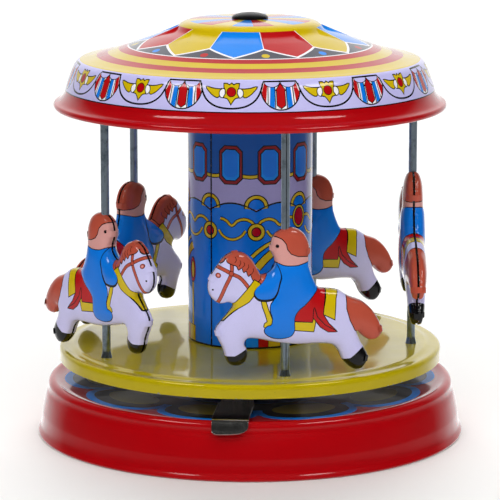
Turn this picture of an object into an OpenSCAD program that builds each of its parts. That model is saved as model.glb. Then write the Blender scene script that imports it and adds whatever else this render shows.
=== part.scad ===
// Wind-up tin carousel: five horses with riders turn over a base that holds a musical movement.
// The base stands on z = 0, the turning axis is the Z axis, and the stop lever faces -Y.
// Round stations are given as an azimuth from -Y, positive towards +X.

/* [Base] */
// Radius over the rolled lip of the base
base_r = 80; // [79.5:0.5:82]
// Height of the printed deck inside the rounded crest
deck_z = 19.6; // [19.4:0.1:19.7]
// Thickness of the pressed tin sheet
tin = 0.4; // [0.3:0.05:0.45]
// Inner radius of the key recess pressed up into the base plate
recess_r = 14; // [13.5:0.5:14]

/* [Turntable and column] */
// Radius of the turntable skirt
turntable_r = 71.6; // [70:0.2:72]
// Height of the turntable's flat ring under the poles
turntable_z = 33.7; // [33.7:0.1:34.2]
// Radius of the centre column
column_r = 23.2; // [22.5:0.1:23.4]
// Height of the ceiling disc that closes the canopy
ceiling_z = 126; // [124:1:127]

/* [Canopy] */
// Radius over the flared rim of the canopy
canopy_r = 72.6; // [72:0.2:73]
// Radius of the round knob on top
finial_r = 6.75; // [6:0.25:7.5]

/* [Poles and figures] */
// Radius of the circle that the poles stand on
pole_circle = 60.55; // [60.4:0.05:60.7]
// Azimuth of the first pole
first_pole = 11.9; // [0:0.1:30]
// Outer radius of a rolled pole
pole_r = 1.52; // [1.4:0.02:1.6]
// Radial gap between a pole and the notches of its figure
pole_gap = 0.06; // [0.04:0.01:0.1]
// Depth of one pressed half, from the seam to its highest relief
half_depth = 4.5; // [4.2:0.1:5]

/* [Stop lever] */
// Azimuth of the stop lever
lever_az = -5.2; // [-8:0.2:8]
// Width of the lever's finger tab
lever_w = 13; // [11:0.5:14]
// Distance of the lever's pivot from the turning axis
lever_pivot_r = 33; // [33:0.5:34]

/* [Musical movement] */
// Height of the cylinder and governor arbors
arbor_z = 10.3; // [10.3:0.05:10.4]
// Radius of the pinned cylinder
cylinder_r = 5.5; // [5:0.1:5.6]
// Number of comb teeth and cylinder tracks
tracks = 18; // [12:1:18]
// Number of crown wheel teeth
crown_teeth = 48; // [48:1:48]
// Number of teeth on the cylinder's pinion
pinion_teeth = 12; // [12:1:12]
// Gear module of the governor train
train_module = 0.33; // [0.32:0.01:0.33]

/* [Hidden] */
$fn = 96;
eps = 0.01;
running = 0.06;

// A run of points along an arc, from angle a0 to a1 in n steps.
function arc(c, r, a0, a1, n) = [for (i = [0 : n]) let (a = a0 + (a1 - a0) * i / n) c + r * [cos(a), sin(a)]];
function unit(v) = v / norm(v);
// An open path moved sideways by t, to the left of its direction of travel.
function beside(p, t) = [for (i = [0 : len(p) - 1])
    let (d = unit(p[min(i + 1, len(p) - 1)] - p[max(i - 1, 0)])) p[i] + t * [-d[1], d[0]]];
function reversed(p) = [for (i = [len(p) - 1 : -1 : 0]) p[i]];
// A closed clockwise outline moved inwards by d at every corner.
function inset(p, d) = [for (i = [0 : len(p) - 1])
    let (n = len(p), u = unit(p[i] - p[(i + n - 1) % n]), v = unit(p[(i + 1) % n] - p[i]))
    let (nu = [u[1], -u[0]], nv = [v[1], -v[0]]) p[i] + d * (nu + nv) / (1 + nu * nv)];
// The outline of a gear with straight-sided teeth; root and tip give half a tooth as a share of the pitch.
function gear_outline(n, r_root, r_tip, root, tip) = [for (i = [0 : n - 1], k = [0 : 3])
    let (s = [-root, -tip, tip, root][k], r = (k == 1 || k == 2) ? r_tip : r_root, a = 360 * (i + s) / n)
    r * [cos(a), sin(a)]];

// Sheet pressed or spun round the axis: the path is one surface, the sheet lies to its left.
module spun(path, t) {
    rotate_extrude($fn = 180) polygon(concat(path, reversed(beside(path, t))));
}
module ring(r_out, r_in, z0, z1) {
    rotate_extrude() translate([r_in, z0]) square([r_out - r_in, z1 - z0]);
}
// Children placed at radius r and azimuth az, their own -Y turned outwards.
module at_azimuth(az, r) {
    rotate(az) translate([0, -r, 0]) children();
}
// Children made along Z are laid along X, starting at x.
module along_x(x, y, z) {
    translate([x, y, z]) rotate([0, 90, 0]) children();
}

pole_count = 5;
function pole_az(i) = first_pole + 360 / pole_count * (i - 1);
// Direction each figure faces at rest, counter-clockwise from +X.
facing = [180 + pole_az(1), pole_az(2) + 7, pole_az(3) + 49, 180 + pole_az(4), pole_az(5) + 11];
// How far each figure is threaded up its pole.
lift = [0, 11.5, 0, 0, 0];

// ---- heights shared by several pieces
deck_under = deck_z - tin;
plate_z = 1.8;
bed_z = plate_z + tin;
recess_z = 7.6;
web_z = 21.1;
shoulder_z = 18;
hub_top = turntable_z + 1.4;
drum_r = 20;
tube_r = 4;
arbor_r = 2;
barrel_r = 14.5;
barrel_z0 = 9.9;
barrel_z1 = 16.4;
crown_in = 15.2;
crown_out = 18.2;
crown_tip_z = 13.8;
crown_root_z = 15.3;
crown_top_z = 16.1;

// ---- base
module base_shell() {
    lip = [[base_r - 2.8, 0], [base_r - 0.5, 0]];
    roll = arc([base_r - 0.6, 0.85], 0.6, -60, 60, 4);
    wall = [[base_r - 1, 2.6], [base_r - 1.3, 3.8], [base_r - 1.55, 6], [base_r - 1.7, 8],
            [base_r - 2.3, 11], [base_r - 3, 14], [base_r - 3.5, 15.5], [base_r - 3.9, 16.2],
            [base_r - 4.1, shoulder_z - 0.8]];
    crest = arc([base_r - 6.3, shoulder_z + 0.45], 2.2, 10, 125, 7);
    deck = [[base_r - 8.6, deck_z + 0.25], [base_r - 9.8, deck_z], [tube_r + 1.6, deck_z]];
    color("crimson") difference() {
        spun(concat(lip, roll, wall, crest, deck), tin);
        at_azimuth(lever_az, lever_pivot_r) translate([0, 0, deck_z - 2]) cylinder(r = 1.6, h = 4);
    }
}

screw_spots = [[22, -17], [46, -17], [22, 12.5], [46, 21.5]];
module base_plate() {
    dish = [[base_r - 1.8, 0.4], [base_r - 4.5, 0.4], [base_r - 5.8, plate_z], [recess_r + 0.4, plate_z]];
    cup = [[recess_r, plate_z + 0.4], [recess_r, recess_z - 0.4], [recess_r - 0.4, recess_z]];
    hole = [[arbor_r + running, recess_z]];
    color("silver") difference() {
        spun(concat(dish, cup, hole), -tin);
        for (s = screw_spots) translate([s[0], s[1], 0]) cylinder(r = 1.05, h = 4);
        click_post(1.02);
    }
}

module deck_bush() {
    color("gold") {
        ring(tube_r + 1.6, tube_r + running, deck_under - 0.3, web_z - 0.05);
        ring(9, tube_r + 1.6 - eps, deck_z, deck_z + 0.6);
    }
}

// ---- stop lever
strip_z = shoulder_z + 3.5;
strip_t = 0.6;
brake_gap = 2.65;
tangent_run = sqrt(lever_pivot_r * lever_pivot_r - drum_r * drum_r);
tangent_angle = asin(drum_r / lever_pivot_r);
module stop_lever() {
    tab_end = base_r - lever_pivot_r - 0.4;
    bend = [[0, strip_z + strip_t], [tab_end - 4.6, strip_z + strip_t], [tab_end - 2.8, strip_z],
            [tab_end - 1.8, strip_z - 1.4], [tab_end - 1.3, strip_z - 2.8], [tab_end - 0.8, strip_z - 3.7],
            [tab_end, strip_z - 4.2]];
    half_w = lever_w / 2;
    front = concat([[half_w, strip_z + 2]], arc([half_w - 3.4, strip_z - 1.4], 3.4, 0, -70, 5),
            arc([-half_w + 2.6, strip_z - 2.2], 2.6, -100, -180, 5), [[-half_w, strip_z + 2]]);
    color("lightgray") at_azimuth(lever_az, lever_pivot_r) difference() {
        union() {
            intersection() {
                translate([lever_w, 0, 0]) rotate([90, 0, -90])
                    linear_extrude(2 * lever_w) polygon(concat(bend, reversed(beside(bend, -strip_t))));
                translate([0, 1, 0]) rotate([90, 0, 0]) linear_extrude(60) polygon(front);
                linear_extrude(40) polygon([[-4.5, 1], [-4.5, -8], [-half_w, -20], [-half_w, -60],
                        [half_w, -60], [half_w, -20], [4.5, -8], [4.5, 1]]);
            }
            translate([0, 0, strip_z]) cylinder(r = 5.5, h = strip_t);
            rotate(tangent_angle) {
                translate([-brake_gap - 5, 0, strip_z]) cube([5, tangent_run + 4, strip_t]);
                translate([-brake_gap - 0.8, tangent_run - 4, strip_z]) cube([0.8, 8, 5.2]);
            }
        }
        translate([0, 0, strip_z - 1]) cylinder(r = 1.66, h = 3);
    }
}

module lever_rivet() {
    color("gray") at_azimuth(lever_az, lever_pivot_r) {
        translate([0, 0, deck_under - 0.8]) cylinder(r = 2.6, h = 0.8);
        translate([0, 0, deck_under - 0.4]) cylinder(r = 1.6, h = strip_z + strip_t - deck_under + 0.8);
        translate([0, 0, deck_z]) cylinder(r = 3.2, h = strip_z - 0.05 - deck_z);
        translate([0, 0, strip_z + strip_t + 0.05]) cylinder(r1 = 3.2, r2 = 2, h = 0.9);
    }
}

// ---- turntable and what turns with it
module turntable() {
    edge = arc([turntable_r - 1.3, turntable_z - 1.8], 1.3, 0, 80, 4);
    path = concat([[turntable_r, turntable_z - 5.6]], edge,
            [[67.4, turntable_z - 0.5], [66.6, turntable_z - 0.1], [65.8, turntable_z],
             [56.5, turntable_z], [40, turntable_z + 0.7], [25, hub_top], [tube_r, hub_top]]);
    color("gold") difference() {
        spun(path, tin);
        for (i = [1 : pole_count]) at_azimuth(pole_az(i), pole_circle)
            translate([0, 0, turntable_z - 2]) cylinder(r = 1.32, h = 4);
        for (a = column_tabs) rotate(a) translate([column_r - 0.75, -3, hub_top - 2]) cube([1, 6, 4]);
    }
}

column_t = 0.35;
column_tabs = [20, 140, 260];
seam_az = -38;
module column() {
    color("dodgerblue") {
        difference() {
            union() {
                ring(column_r, column_r - column_t, hub_top, ceiling_z);
                intersection() {
                    ring(column_r, column_r - column_t, hub_top - 1.6, ceiling_z + 1.6);
                    for (a = column_tabs) rotate(a) translate([10, -2.6, 0]) cube([20, 5.2, 200]);
                }
            }
            at_azimuth(seam_az, column_r) translate([-0.15, -2, 0]) cube([0.3, 4, 200]);
        }
        intersection() {
            ring(column_r - column_t, column_r - 2 * column_t, hub_top + 1, ceiling_z - 1);
            at_azimuth(seam_az, column_r) translate([-2, -3, 0]) cube([4, 6, 200]);
        }
    }
}

bead_z = 85.3;
module pole(i) {
    wall_in = pole_r - 0.37;
    color("silver") at_azimuth(pole_az(i), pole_circle) difference() {
        union() {
            translate([0, 0, turntable_z]) cylinder(r = pole_r, h = ceiling_z - turntable_z);
            translate([0, 0, turntable_z]) cylinder(r1 = 2.05, r2 = pole_r, h = 2.4);
            translate([0, 0, turntable_z - tin - 0.7]) cylinder(r = 1.3, h = 3);
            translate([0, 0, turntable_z - tin - 0.7]) cylinder(r = 2, h = 0.7);
            translate([0, 0, ceiling_z - 1]) cylinder(r = 1.3, h = 1 + tin + 0.7);
            translate([0, 0, ceiling_z + tin]) cylinder(r = 2, h = 0.7);
            translate([0, 0, bead_z + lift[i - 1]]) cylinder(r = 2, h = 0.8);
        }
        translate([0, 0, turntable_z - 2]) cylinder(r = min(wall_in, 1), h = ceiling_z);
        translate([0, 0, turntable_z]) cylinder(r = wall_in, h = ceiling_z - turntable_z);
        translate([-0.14, -4, turntable_z - 2]) cube([0.28, 4, ceiling_z]);
    }
}

module brake_drum() {
    flange_z = hub_top - 2 * tin;
    path = [[22.4, flange_z], [drum_r + 0.4, flange_z], [drum_r, flange_z - 0.4],
            [drum_r, web_z + 0.6], [drum_r - 0.6, web_z], [tube_r, web_z]];
    color("dimgray") spun(path, -tin);
}

module drive_tube() {
    color("goldenrod") {
        ring(tube_r, arbor_r + running, barrel_z1 - 0.4, hub_top + 0.5);
        ring(6.5, tube_r - eps, barrel_z1, barrel_z1 + 0.6);
        ring(6.5, tube_r - eps, hub_top, hub_top + 0.5);
    }
}

module canopy_ceiling() {
    path = [[canopy_r - 4.45, ceiling_z + 2.6], [canopy_r - 4.8, ceiling_z + 0.6],
            [canopy_r - 5.4, ceiling_z], [3, ceiling_z]];
    color("firebrick") difference() {
        spun(path, -tin);
        for (i = [1 : pole_count]) at_azimuth(pole_az(i), pole_circle)
            translate([0, 0, ceiling_z - 2]) cylinder(r = 1.32, h = 4);
        for (a = column_tabs) rotate(a) translate([column_r - 0.75, -3, ceiling_z - 2]) cube([1, 6, 4]);
    }
}

canopy_top = 154.9;
module canopy() {
    rim = [[canopy_r - 0.4, 122.4], [canopy_r, 122.8], [canopy_r - 0.3, 123.3], [canopy_r - 1.3, 124.3],
           [canopy_r - 3.1, 126.9], [canopy_r - 4.3, 129.4]];
    band = [[canopy_r - 4.6, 130.6], [canopy_r - 6, 134.4], [canopy_r - 7.3, 137.6], [canopy_r - 8.3, 139.2],
            [canopy_r - 9.6, 140.2]];
    cone = [[60, 140.8], [57, 141.5], [52, 142.8], [46, 144.8], [39.5, 147.1], [33.5, 149.2], [28.2, 150.8]];
    plateau = [[27.2, 151.5], [26, 152.9], [24.6, 153.8], [22.5, 154.4], [18, 154.7], [9, canopy_top],
               [2.5, canopy_top]];
    color("gold") spun(concat(rim, band, cone, plateau), tin);
}

module finial() {
    dome = concat([[0, canopy_top], [finial_r, canopy_top]],
            [for (a = [10 : 10 : 90]) [finial_r * cos(a), canopy_top + 0.3 + 2 * sin(a)]]);
    color("black") {
        rotate_extrude() polygon(dome);
        translate([0, 0, canopy_top - 6]) cylinder(r = 2.5, h = 6 + eps);
    }
}

module finial_nut() {
    color("silver") ring(5.5, 2.5, canopy_top - tin - 0.6, canopy_top - tin - 0.02);
}

// ---- figures: a horse and its rider pressed as two hollow halves, x forwards from the pole
figure_outline = [
    [-1.4, 87.8], [2, 87], [4.2, 85.4], [5.3, 82.6], [5.3, 79.6], [4.2, 77], [4, 74.6],
    [6.2, 71.9], [9, 71.4], [10.2, 73.4], [12.4, 77], [15.4, 79.4], [19, 79.7], [22, 78.2], [24, 75.8],
    [26.2, 72.6], [27.6, 70], [28, 67.8], [27.6, 65.2], [25.8, 62.7], [23.4, 61.4], [20.8, 61.8], [19, 60.8],
    [21.2, 57.4], [24.2, 54], [25.2, 52], [24.5, 48.8], [22.8, 45.4], [21.8, 41.8], [20.5, 39.5],
    [18, 38.6], [15.4, 39.4], [13.9, 42], [14, 44.4], [15, 46.6], [14, 48.3],
    [10, 48.1], [5.8, 47.1], [0, 46], [-4.5, 45.5], [-12.6, 45.5], [-17, 44.8],
    [-19, 42.8], [-20.6, 39.5], [-22.3, 37.4], [-24.8, 35.6], [-27.3, 35.5], [-29.4, 37.6], [-30, 40.4],
    [-28.8, 43], [-27.2, 45.8], [-26, 49.4], [-28, 47.6], [-30.6, 46], [-33.4, 46.4], [-35.2, 48.8],
    [-33.9, 53.2], [-31.4, 57], [-27.8, 60.2], [-23, 62.2], [-19, 64.6], [-15.3, 65.3], [-11.8, 66],
    [-10, 69.2], [-8.5, 73.6], [-8.2, 76.6], [-8.6, 79.7], [-7.9, 83], [-6.2, 85.8], [-3.8, 87.4]];
seam_gap = 0.1;
rim_depth = 2.8;
relief_inset = 1.1;
// Where the left half's fold tabs reach over the right half
fold_tabs = [[27, 71], [18.5, 79.8], [25, 51], [-35, 50], [-26, 35.4], [-8.6, 79], [5.3, 81]];

// The outline d inside the figure's edge, as a slab between two distances from the seam.
module slab(d, y0, y1) {
    translate([0, y1, 0]) rotate([90, 0, 0]) linear_extrude(y1 - y0) polygon(inset(figure_outline, d));
}
module pressed_half() {
    y0 = seam_gap / 2;
    difference() {
        union() {
            slab(0, y0, rim_depth);
            slab(relief_inset, y0, half_depth);
        }
        slab(tin, y0 - 1, rim_depth - tin);
        slab(relief_inset + tin, y0 - 1, half_depth - tin);
        translate([0, 0, 30]) cylinder(r = pole_r + pole_gap, h = 70);
    }
}
module folded_tabs() {
    difference() {
        intersection() {
            slab(-0.35, -1.5, 1);
            for (t = fold_tabs) translate([t[0] - 1.2, -2, t[1] - 1.2]) cube([2.4, 4, 2.4]);
        }
        slab(0, -2, 2);
    }
}
module placed_figure(i) {
    at_azimuth(pole_az(i), pole_circle) translate([0, 0, lift[i - 1]]) rotate(facing[i - 1] - pole_az(i)) children();
}
module left_half(i) {
    color("lavender") placed_figure(i) {
        pressed_half();
        folded_tabs();
    }
}
module right_half(i) {
    color("lightsteelblue") placed_figure(i) mirror([0, 1, 0]) pressed_half();
}

// ---- going barrel: it turns with the turntable and carries the crown wheel
module spring_barrel() {
    color("goldenrod") {
        ring(barrel_r, barrel_r - 0.5, barrel_z0, barrel_z1);
        ring(barrel_r - 0.5 + eps, tube_r, barrel_z1 - 0.4, barrel_z1);
    }
}
module barrel_cap() {
    color("goldenrod") ring(barrel_r, arbor_r + running, barrel_z0 - 0.4, barrel_z0);
}
module crown_wheel() {
    tooth = [[-0.5, crown_root_z + eps], [-0.24, crown_tip_z], [0.24, crown_tip_z], [0.5, crown_root_z + eps]];
    color("khaki") {
        ring(crown_out, barrel_r, crown_root_z, crown_top_z);
        for (i = [0 : crown_teeth - 1]) rotate((i + 0.5) * 360 / crown_teeth) translate([crown_in, 0, 0])
            rotate([90, 0, 90]) linear_extrude(crown_out - crown_in) polygon(tooth);
    }
}
spring_turns = 6;
module mainspring() {
    r_in = 3.4;
    r_out = barrel_r - 0.9;
    steps = spring_turns * 20;
    coil = [for (i = [0 : steps]) let (a = 18 * i) (r_in + (r_out - r_in) * i / steps) * [cos(a), sin(a)]];
    color("steelblue") translate([0, 0, barrel_z0 + 0.3])
        linear_extrude(5.4) polygon(concat(coil, reversed(beside(coil, 0.35))));
}

// ---- winding
module winding_arbor() {
    color("silver") translate([0, 0, 3]) cylinder(r = arbor_r, h = 16.5);
}
module ratchet_wheel() {
    teeth = 20;
    saw = [for (i = [0 : teeth - 1], k = [0 : 1]) (k == 0 ? 6 : 5.2) * [cos(18 * i + k), sin(18 * i + k)]];
    color("silver") translate([0, 0, recess_z + tin + 0.3]) linear_extrude(0.9) difference() {
        polygon(saw);
        circle(r = arbor_r);
    }
}
module click_post(r) {
    rotate(135) translate([10, 0, recess_z - 0.8]) cylinder(r = r, h = 2.3);
}
module click() {
    z = recess_z + tin + 0.35;
    color("gray") difference() {
        union() {
            click_post(1.02);
            rotate(135) translate([10, 0, z]) cylinder(r = 1.6, h = 0.8);
            rotate(135) translate([10, 0, z]) rotate(232) translate([0, -0.6, 0]) cube([6.6, 1.2, 0.8]);
        }
        translate([0, 0, z - 1]) cylinder(r = 6.12, h = 4);
    }
}
module winding_key() {
    wing = concat([[2.4, 0]], arc([9.2, 0.1], 3.1, -120, 120, 10), [[2.4, 3.1]]);
    color("silver") {
        ring(3.4, arbor_r, 2.6, recess_z - 0.3);
        for (s = [0, 180]) rotate(s) translate([0, 0.7, 3.9]) rotate([90, 0, 0]) linear_extrude(1.4) difference() {
            polygon(wing);
            translate([9.2, 0.1]) circle(r = 1.7);
        }
    }
}

// ---- musical movement on its own frame
frame_in = 19;
frame_out = 48.4;
upright_t = 1;
pin_reach = 0.7;
governor_y = -25 * train_module - 0.08;
fan_y = governor_y - 22.5 * train_module - 0.08;
shaft_r = 0.9;
module movement_frame() {
    color("lightsteelblue") difference() {
        union() {
            translate([frame_in, -20, bed_z]) cube([frame_out - frame_in + upright_t, 45, 0.8]);
            for (x = [frame_in, frame_out]) translate([x, -20, bed_z]) cube([upright_t, 25, 11.6]);
        }
        for (y = [0, governor_y, fan_y]) along_x(frame_in - 1, y, arbor_z)
            cylinder(r = shaft_r + 0.05, h = frame_out - frame_in + 4);
        for (s = screw_spots) translate([s[0], s[1], 0]) cylinder(r = 1, h = 5);
        for (x = anvil_screws) translate([x, 20.5, 0]) cylinder(r = 0.9, h = 5);
    }
}
module frame_screws() {
    color("silver") for (s = screw_spots) translate([s[0], s[1], 0]) difference() {
        union() {
            translate([0, 0, plate_z - 0.3]) cylinder(r = 1, h = 2.4);
            translate([0, 0, plate_z - 1.1]) cylinder(r = 2.1, h = 1.1);
        }
        translate([-3, -0.25, plate_z - 1.2]) cube([6, 0.5, 0.6]);
    }
}
music_x = 21.6;
track_pitch = 1.04;
anvil_screws = [music_x + 4, music_x + 15.5];
comb_z = arbor_z - 0.4;
comb_w = tracks * track_pitch;
module comb_anvil() {
    color("slategray") difference() {
        translate([music_x, 17, bed_z + 0.8]) cube([comb_w, 7, comb_z - bed_z - 0.8]);
        for (x = anvil_screws) translate([x, 20.5, 0]) cylinder(r = 0.9, h = 20);
    }
}
module comb() {
    tip_y = cylinder_r + pin_reach + 0.15;
    color("lightgray") difference() {
        translate([music_x, tip_y, comb_z]) cube([comb_w, 24 - tip_y, 0.8]);
        for (i = [1 : tracks - 1]) translate([music_x + i * track_pitch - 0.12, tip_y - 1, comb_z - 1])
            cube([0.24, 11 - 0.2 * i, 3]);
        for (x = anvil_screws) translate([x, 20.5, comb_z - 1]) cylinder(r = 1, h = 3);
    }
}
module comb_screws() {
    color("gold") for (x = anvil_screws) translate([x, 20.5, 0]) difference() {
        union() {
            translate([0, 0, bed_z + 0.1]) cylinder(r = 0.9, h = comb_z + 1 - bed_z);
            translate([0, 0, comb_z + 0.8]) cylinder(r = 1.9, h = 0.9);
        }
        translate([-3, -0.2, comb_z + 1.3]) cube([6, 0.4, 2]);
    }
}
module music_cylinder() {
    pins_per_track = 3;
    color("gold") {
        along_x(music_x - 0.4, 0, arbor_z) difference() {
            cylinder(r = cylinder_r, h = comb_w + 0.8);
            translate([0, 0, -1]) cylinder(r = shaft_r, h = comb_w + 3);
        }
        for (i = [0 : tracks - 1], k = [0 : pins_per_track - 1])
            along_x(music_x + (i + 0.5) * track_pitch, 0, arbor_z)
                rotate(97 * i + 120 * k + 31 * ((i * k) % 3)) translate([cylinder_r - 0.3, 0, 0])
                    rotate([0, 90, 0]) cylinder(r = 0.2, h = pin_reach + 0.3, $fn = 16);
    }
}
module cylinder_arbor() {
    color("silver") along_x(15.2, 0, arbor_z) cylinder(r = shaft_r, h = frame_out + upright_t + 0.6 - 15.2);
}
crown_pitch = 2.2;
pinion_r = pinion_teeth * crown_pitch / 360 * 57.29578;
module cylinder_pinion() {
    color("gold") along_x(15.4, 0, arbor_z) linear_extrude(2.7) difference() {
        polygon(gear_outline(pinion_teeth, pinion_r - 0.85, pinion_r + 0.6, 0.27, 0.1));
        circle(r = shaft_r);
    }
}
module train_wheel(n, root, tip, turn) {
    r = n * train_module / 2;
    rotate(turn) polygon(gear_outline(n, r - 1.3 * train_module, r + 0.85 * train_module, root, tip));
}
wheel_x = 43;
module cylinder_wheel() {
    color("gold") along_x(wheel_x, 0, arbor_z) linear_extrude(0.8) difference() {
        train_wheel(40, 0.26, 0.1, 0);
        circle(r = shaft_r);
    }
}
module governor_arbor() {
    color("silver") along_x(frame_in - 0.3, governor_y, arbor_z) cylinder(r = shaft_r, h = 31);
    color("silver") along_x(wheel_x - 0.3, governor_y, arbor_z) linear_extrude(1.4) train_wheel(10, 0.26, 0.1, 0);
}
module governor_wheel() {
    color("gold") along_x(wheel_x + 2.5, governor_y, arbor_z) linear_extrude(0.8) difference() {
        train_wheel(36, 0.26, 0.1, 0);
        circle(r = shaft_r);
    }
}
module fan_arbor() {
    color("silver") along_x(frame_in - 0.3, fan_y, arbor_z) cylinder(r = shaft_r, h = 31);
    color("silver") along_x(wheel_x + 2.2, fan_y, arbor_z) linear_extrude(1.4) train_wheel(9, 0.26, 0.1, 30);
}
module governor_fan() {
    color("silver") along_x(26, fan_y, arbor_z) difference() {
        union() {
            cylinder(r = shaft_r + 0.5, h = 12);
            translate([-4.4, -0.2, 1]) cube([8.8, 0.4, 10]);
        }
        translate([0, 0, -1]) cylinder(r = shaft_r, h = 14);
    }
}

base_shell();
base_plate();
deck_bush();
stop_lever();
lever_rivet();
turntable();
brake_drum();
drive_tube();
column();
canopy_ceiling();
canopy();
finial();
finial_nut();
pole(1);  // pole_1
pole(2);  // pole_2
pole(3);  // pole_3
pole(4);  // pole_4
pole(5);  // pole_5
left_half(1);  // horse_1_left_half
right_half(1);  // horse_1_right_half
left_half(2);  // horse_2_left_half
right_half(2);  // horse_2_right_half
left_half(3);  // horse_3_left_half
right_half(3);  // horse_3_right_half
left_half(4);  // horse_4_left_half
right_half(4);  // horse_4_right_half
left_half(5);  // horse_5_left_half
right_half(5);  // horse_5_right_half
spring_barrel();
barrel_cap();
crown_wheel();
mainspring();
winding_arbor();
winding_key();
ratchet_wheel();
click();
movement_frame();
frame_screws();
comb_anvil();
comb();
comb_screws();
music_cylinder();
cylinder_arbor();
cylinder_pinion();
cylinder_wheel();
governor_arbor();
governor_wheel();
fan_arbor();
governor_fan();
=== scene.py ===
import math

import bpy
import numpy as np
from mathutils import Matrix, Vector, geometry


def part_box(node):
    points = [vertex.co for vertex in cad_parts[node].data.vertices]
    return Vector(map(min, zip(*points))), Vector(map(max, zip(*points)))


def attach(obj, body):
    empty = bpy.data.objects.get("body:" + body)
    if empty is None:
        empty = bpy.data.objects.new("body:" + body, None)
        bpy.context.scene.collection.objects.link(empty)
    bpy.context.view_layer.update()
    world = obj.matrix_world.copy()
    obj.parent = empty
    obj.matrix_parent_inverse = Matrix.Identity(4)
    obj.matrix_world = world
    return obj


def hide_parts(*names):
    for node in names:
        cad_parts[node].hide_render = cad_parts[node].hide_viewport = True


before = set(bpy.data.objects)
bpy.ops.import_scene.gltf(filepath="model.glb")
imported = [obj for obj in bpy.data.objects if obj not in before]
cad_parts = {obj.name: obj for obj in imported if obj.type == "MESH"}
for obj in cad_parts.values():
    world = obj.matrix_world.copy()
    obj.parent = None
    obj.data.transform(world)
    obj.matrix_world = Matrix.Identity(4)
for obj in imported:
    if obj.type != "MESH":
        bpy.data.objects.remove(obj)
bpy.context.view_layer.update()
mm = 0.001
# thickness of the printed sheets, in millimetres
sheetTin = 0.4
print("frame loaded")


# ---------- small helpers
def linear(hexColour):
    parts = [int(hexColour[i:i + 2], 16) / 255 for i in (0, 2, 4)]
    return tuple(c / 12.92 if c <= 0.04045 else ((c + 0.055) / 1.055) ** 2.4 for c in parts) + (1.0,)


def node(tree, kind, links=None, **settings):
    made = tree.nodes.new(kind)
    for name, value in settings.items():
        setattr(made, name, value)
    for socket, value in (links or {}).items():
        if isinstance(value, bpy.types.NodeSocket):
            tree.links.new(value, made.inputs[socket])
        else:
            made.inputs[socket].default_value = value
    return made


def perSize(sizeMm):
    return 1 / (sizeMm * mm)  # texture scale that gives features of that real size


def smooth(points, closed=False, step=0.5):
    # an even curve through the points that keeps long straight runs straight
    p = [np.array(q, float) for q in points]
    count = len(p)
    out = []
    for i in range(count if closed else count - 1):
        b, c = p[i], p[(i + 1) % count]
        a = p[i - 1] if closed or i > 0 else 2 * b - c
        d = p[(i + 2) % count] if closed or i + 2 < count else 2 * c - b
        t1 = np.linalg.norm(b - a) ** 0.5
        t2 = t1 + np.linalg.norm(c - b) ** 0.5
        t3 = t2 + np.linalg.norm(d - c) ** 0.5
        steps = max(1, int(np.ceil(np.linalg.norm(c - b) / step)))
        for t in t1 + (t2 - t1) * np.arange(steps) / steps:
            e = (a * (t1 - t) + b * t) / t1
            f = (b * (t2 - t) + c * (t - t1)) / (t2 - t1)
            g = (c * (t3 - t) + d * (t - t2)) / (t3 - t2)
            h = (e * (t2 - t) + f * t) / t2
            k = (f * (t3 - t) + g * (t - t1)) / (t3 - t1)
            out.append((h * (t2 - t) + k * (t - t1)) / (t2 - t1))
    if not closed:
        out.append(p[-1])
    return np.array(out)


def dense(points, step):
    p = np.array(points, float)
    out = []
    for b, c in zip(p, np.roll(p, -1, 0)):
        steps = max(1, int(np.ceil(np.linalg.norm(c - b) / step)))
        out += [b + (c - b) * k / steps for k in range(steps)]
    return np.array(out)


def stroke(points, width):
    p = np.array(points, float)
    d = np.gradient(p, axis=0)
    d /= np.maximum(np.linalg.norm(d, axis=1), 1e-9)[:, None]
    side = np.stack([-d[:, 1], d[:, 0]], 1) * width / 2
    return np.concatenate([p + side, (p - side)[::-1]])


def grown(points, amount):
    # a closed outline moved outwards by a small amount
    p = np.array(points, float)
    q = np.roll(p, -1, 0)
    area = np.sum(p[:, 0] * q[:, 1] - q[:, 0] * p[:, 1])
    after = q - p
    after /= np.maximum(np.linalg.norm(after, axis=1), 1e-9)[:, None]
    normal = np.stack([after[:, 1], -after[:, 0]], 1) * np.sign(area)
    before = np.roll(normal, 1, 0)
    share = np.maximum(1 + np.sum(normal * before, axis=1), 0.5)[:, None]
    return p + amount * (normal + before) / share


def leftward(points):
    # the same closed outline, running counter-clockwise
    p = np.array(points, float)
    q = np.roll(p, -1, 0)
    return p if np.sum(p[:, 0] * q[:, 1] - q[:, 0] * p[:, 1]) > 0 else p[::-1]


def disc(x, y, rx, ry=None, steps=20):
    return [(x + rx * math.cos(a), y + (ry or rx) * math.sin(a))
            for a in np.arange(steps) * 2 * math.pi / steps]


def moved(points, x, y=0.0):
    return np.array(points, float) + (x, y)


def mirrored(points):
    # the right half of a symmetric outline, completed on the left
    return list(points) + [(-x, y) for x, y in reversed(points) if abs(x) > 1e-6]


def outlined(ink, points, line=0.35, lineInk="black ink"):
    return [(lineInk, grown(points, line)), (ink, np.array(points, float))]


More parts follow.
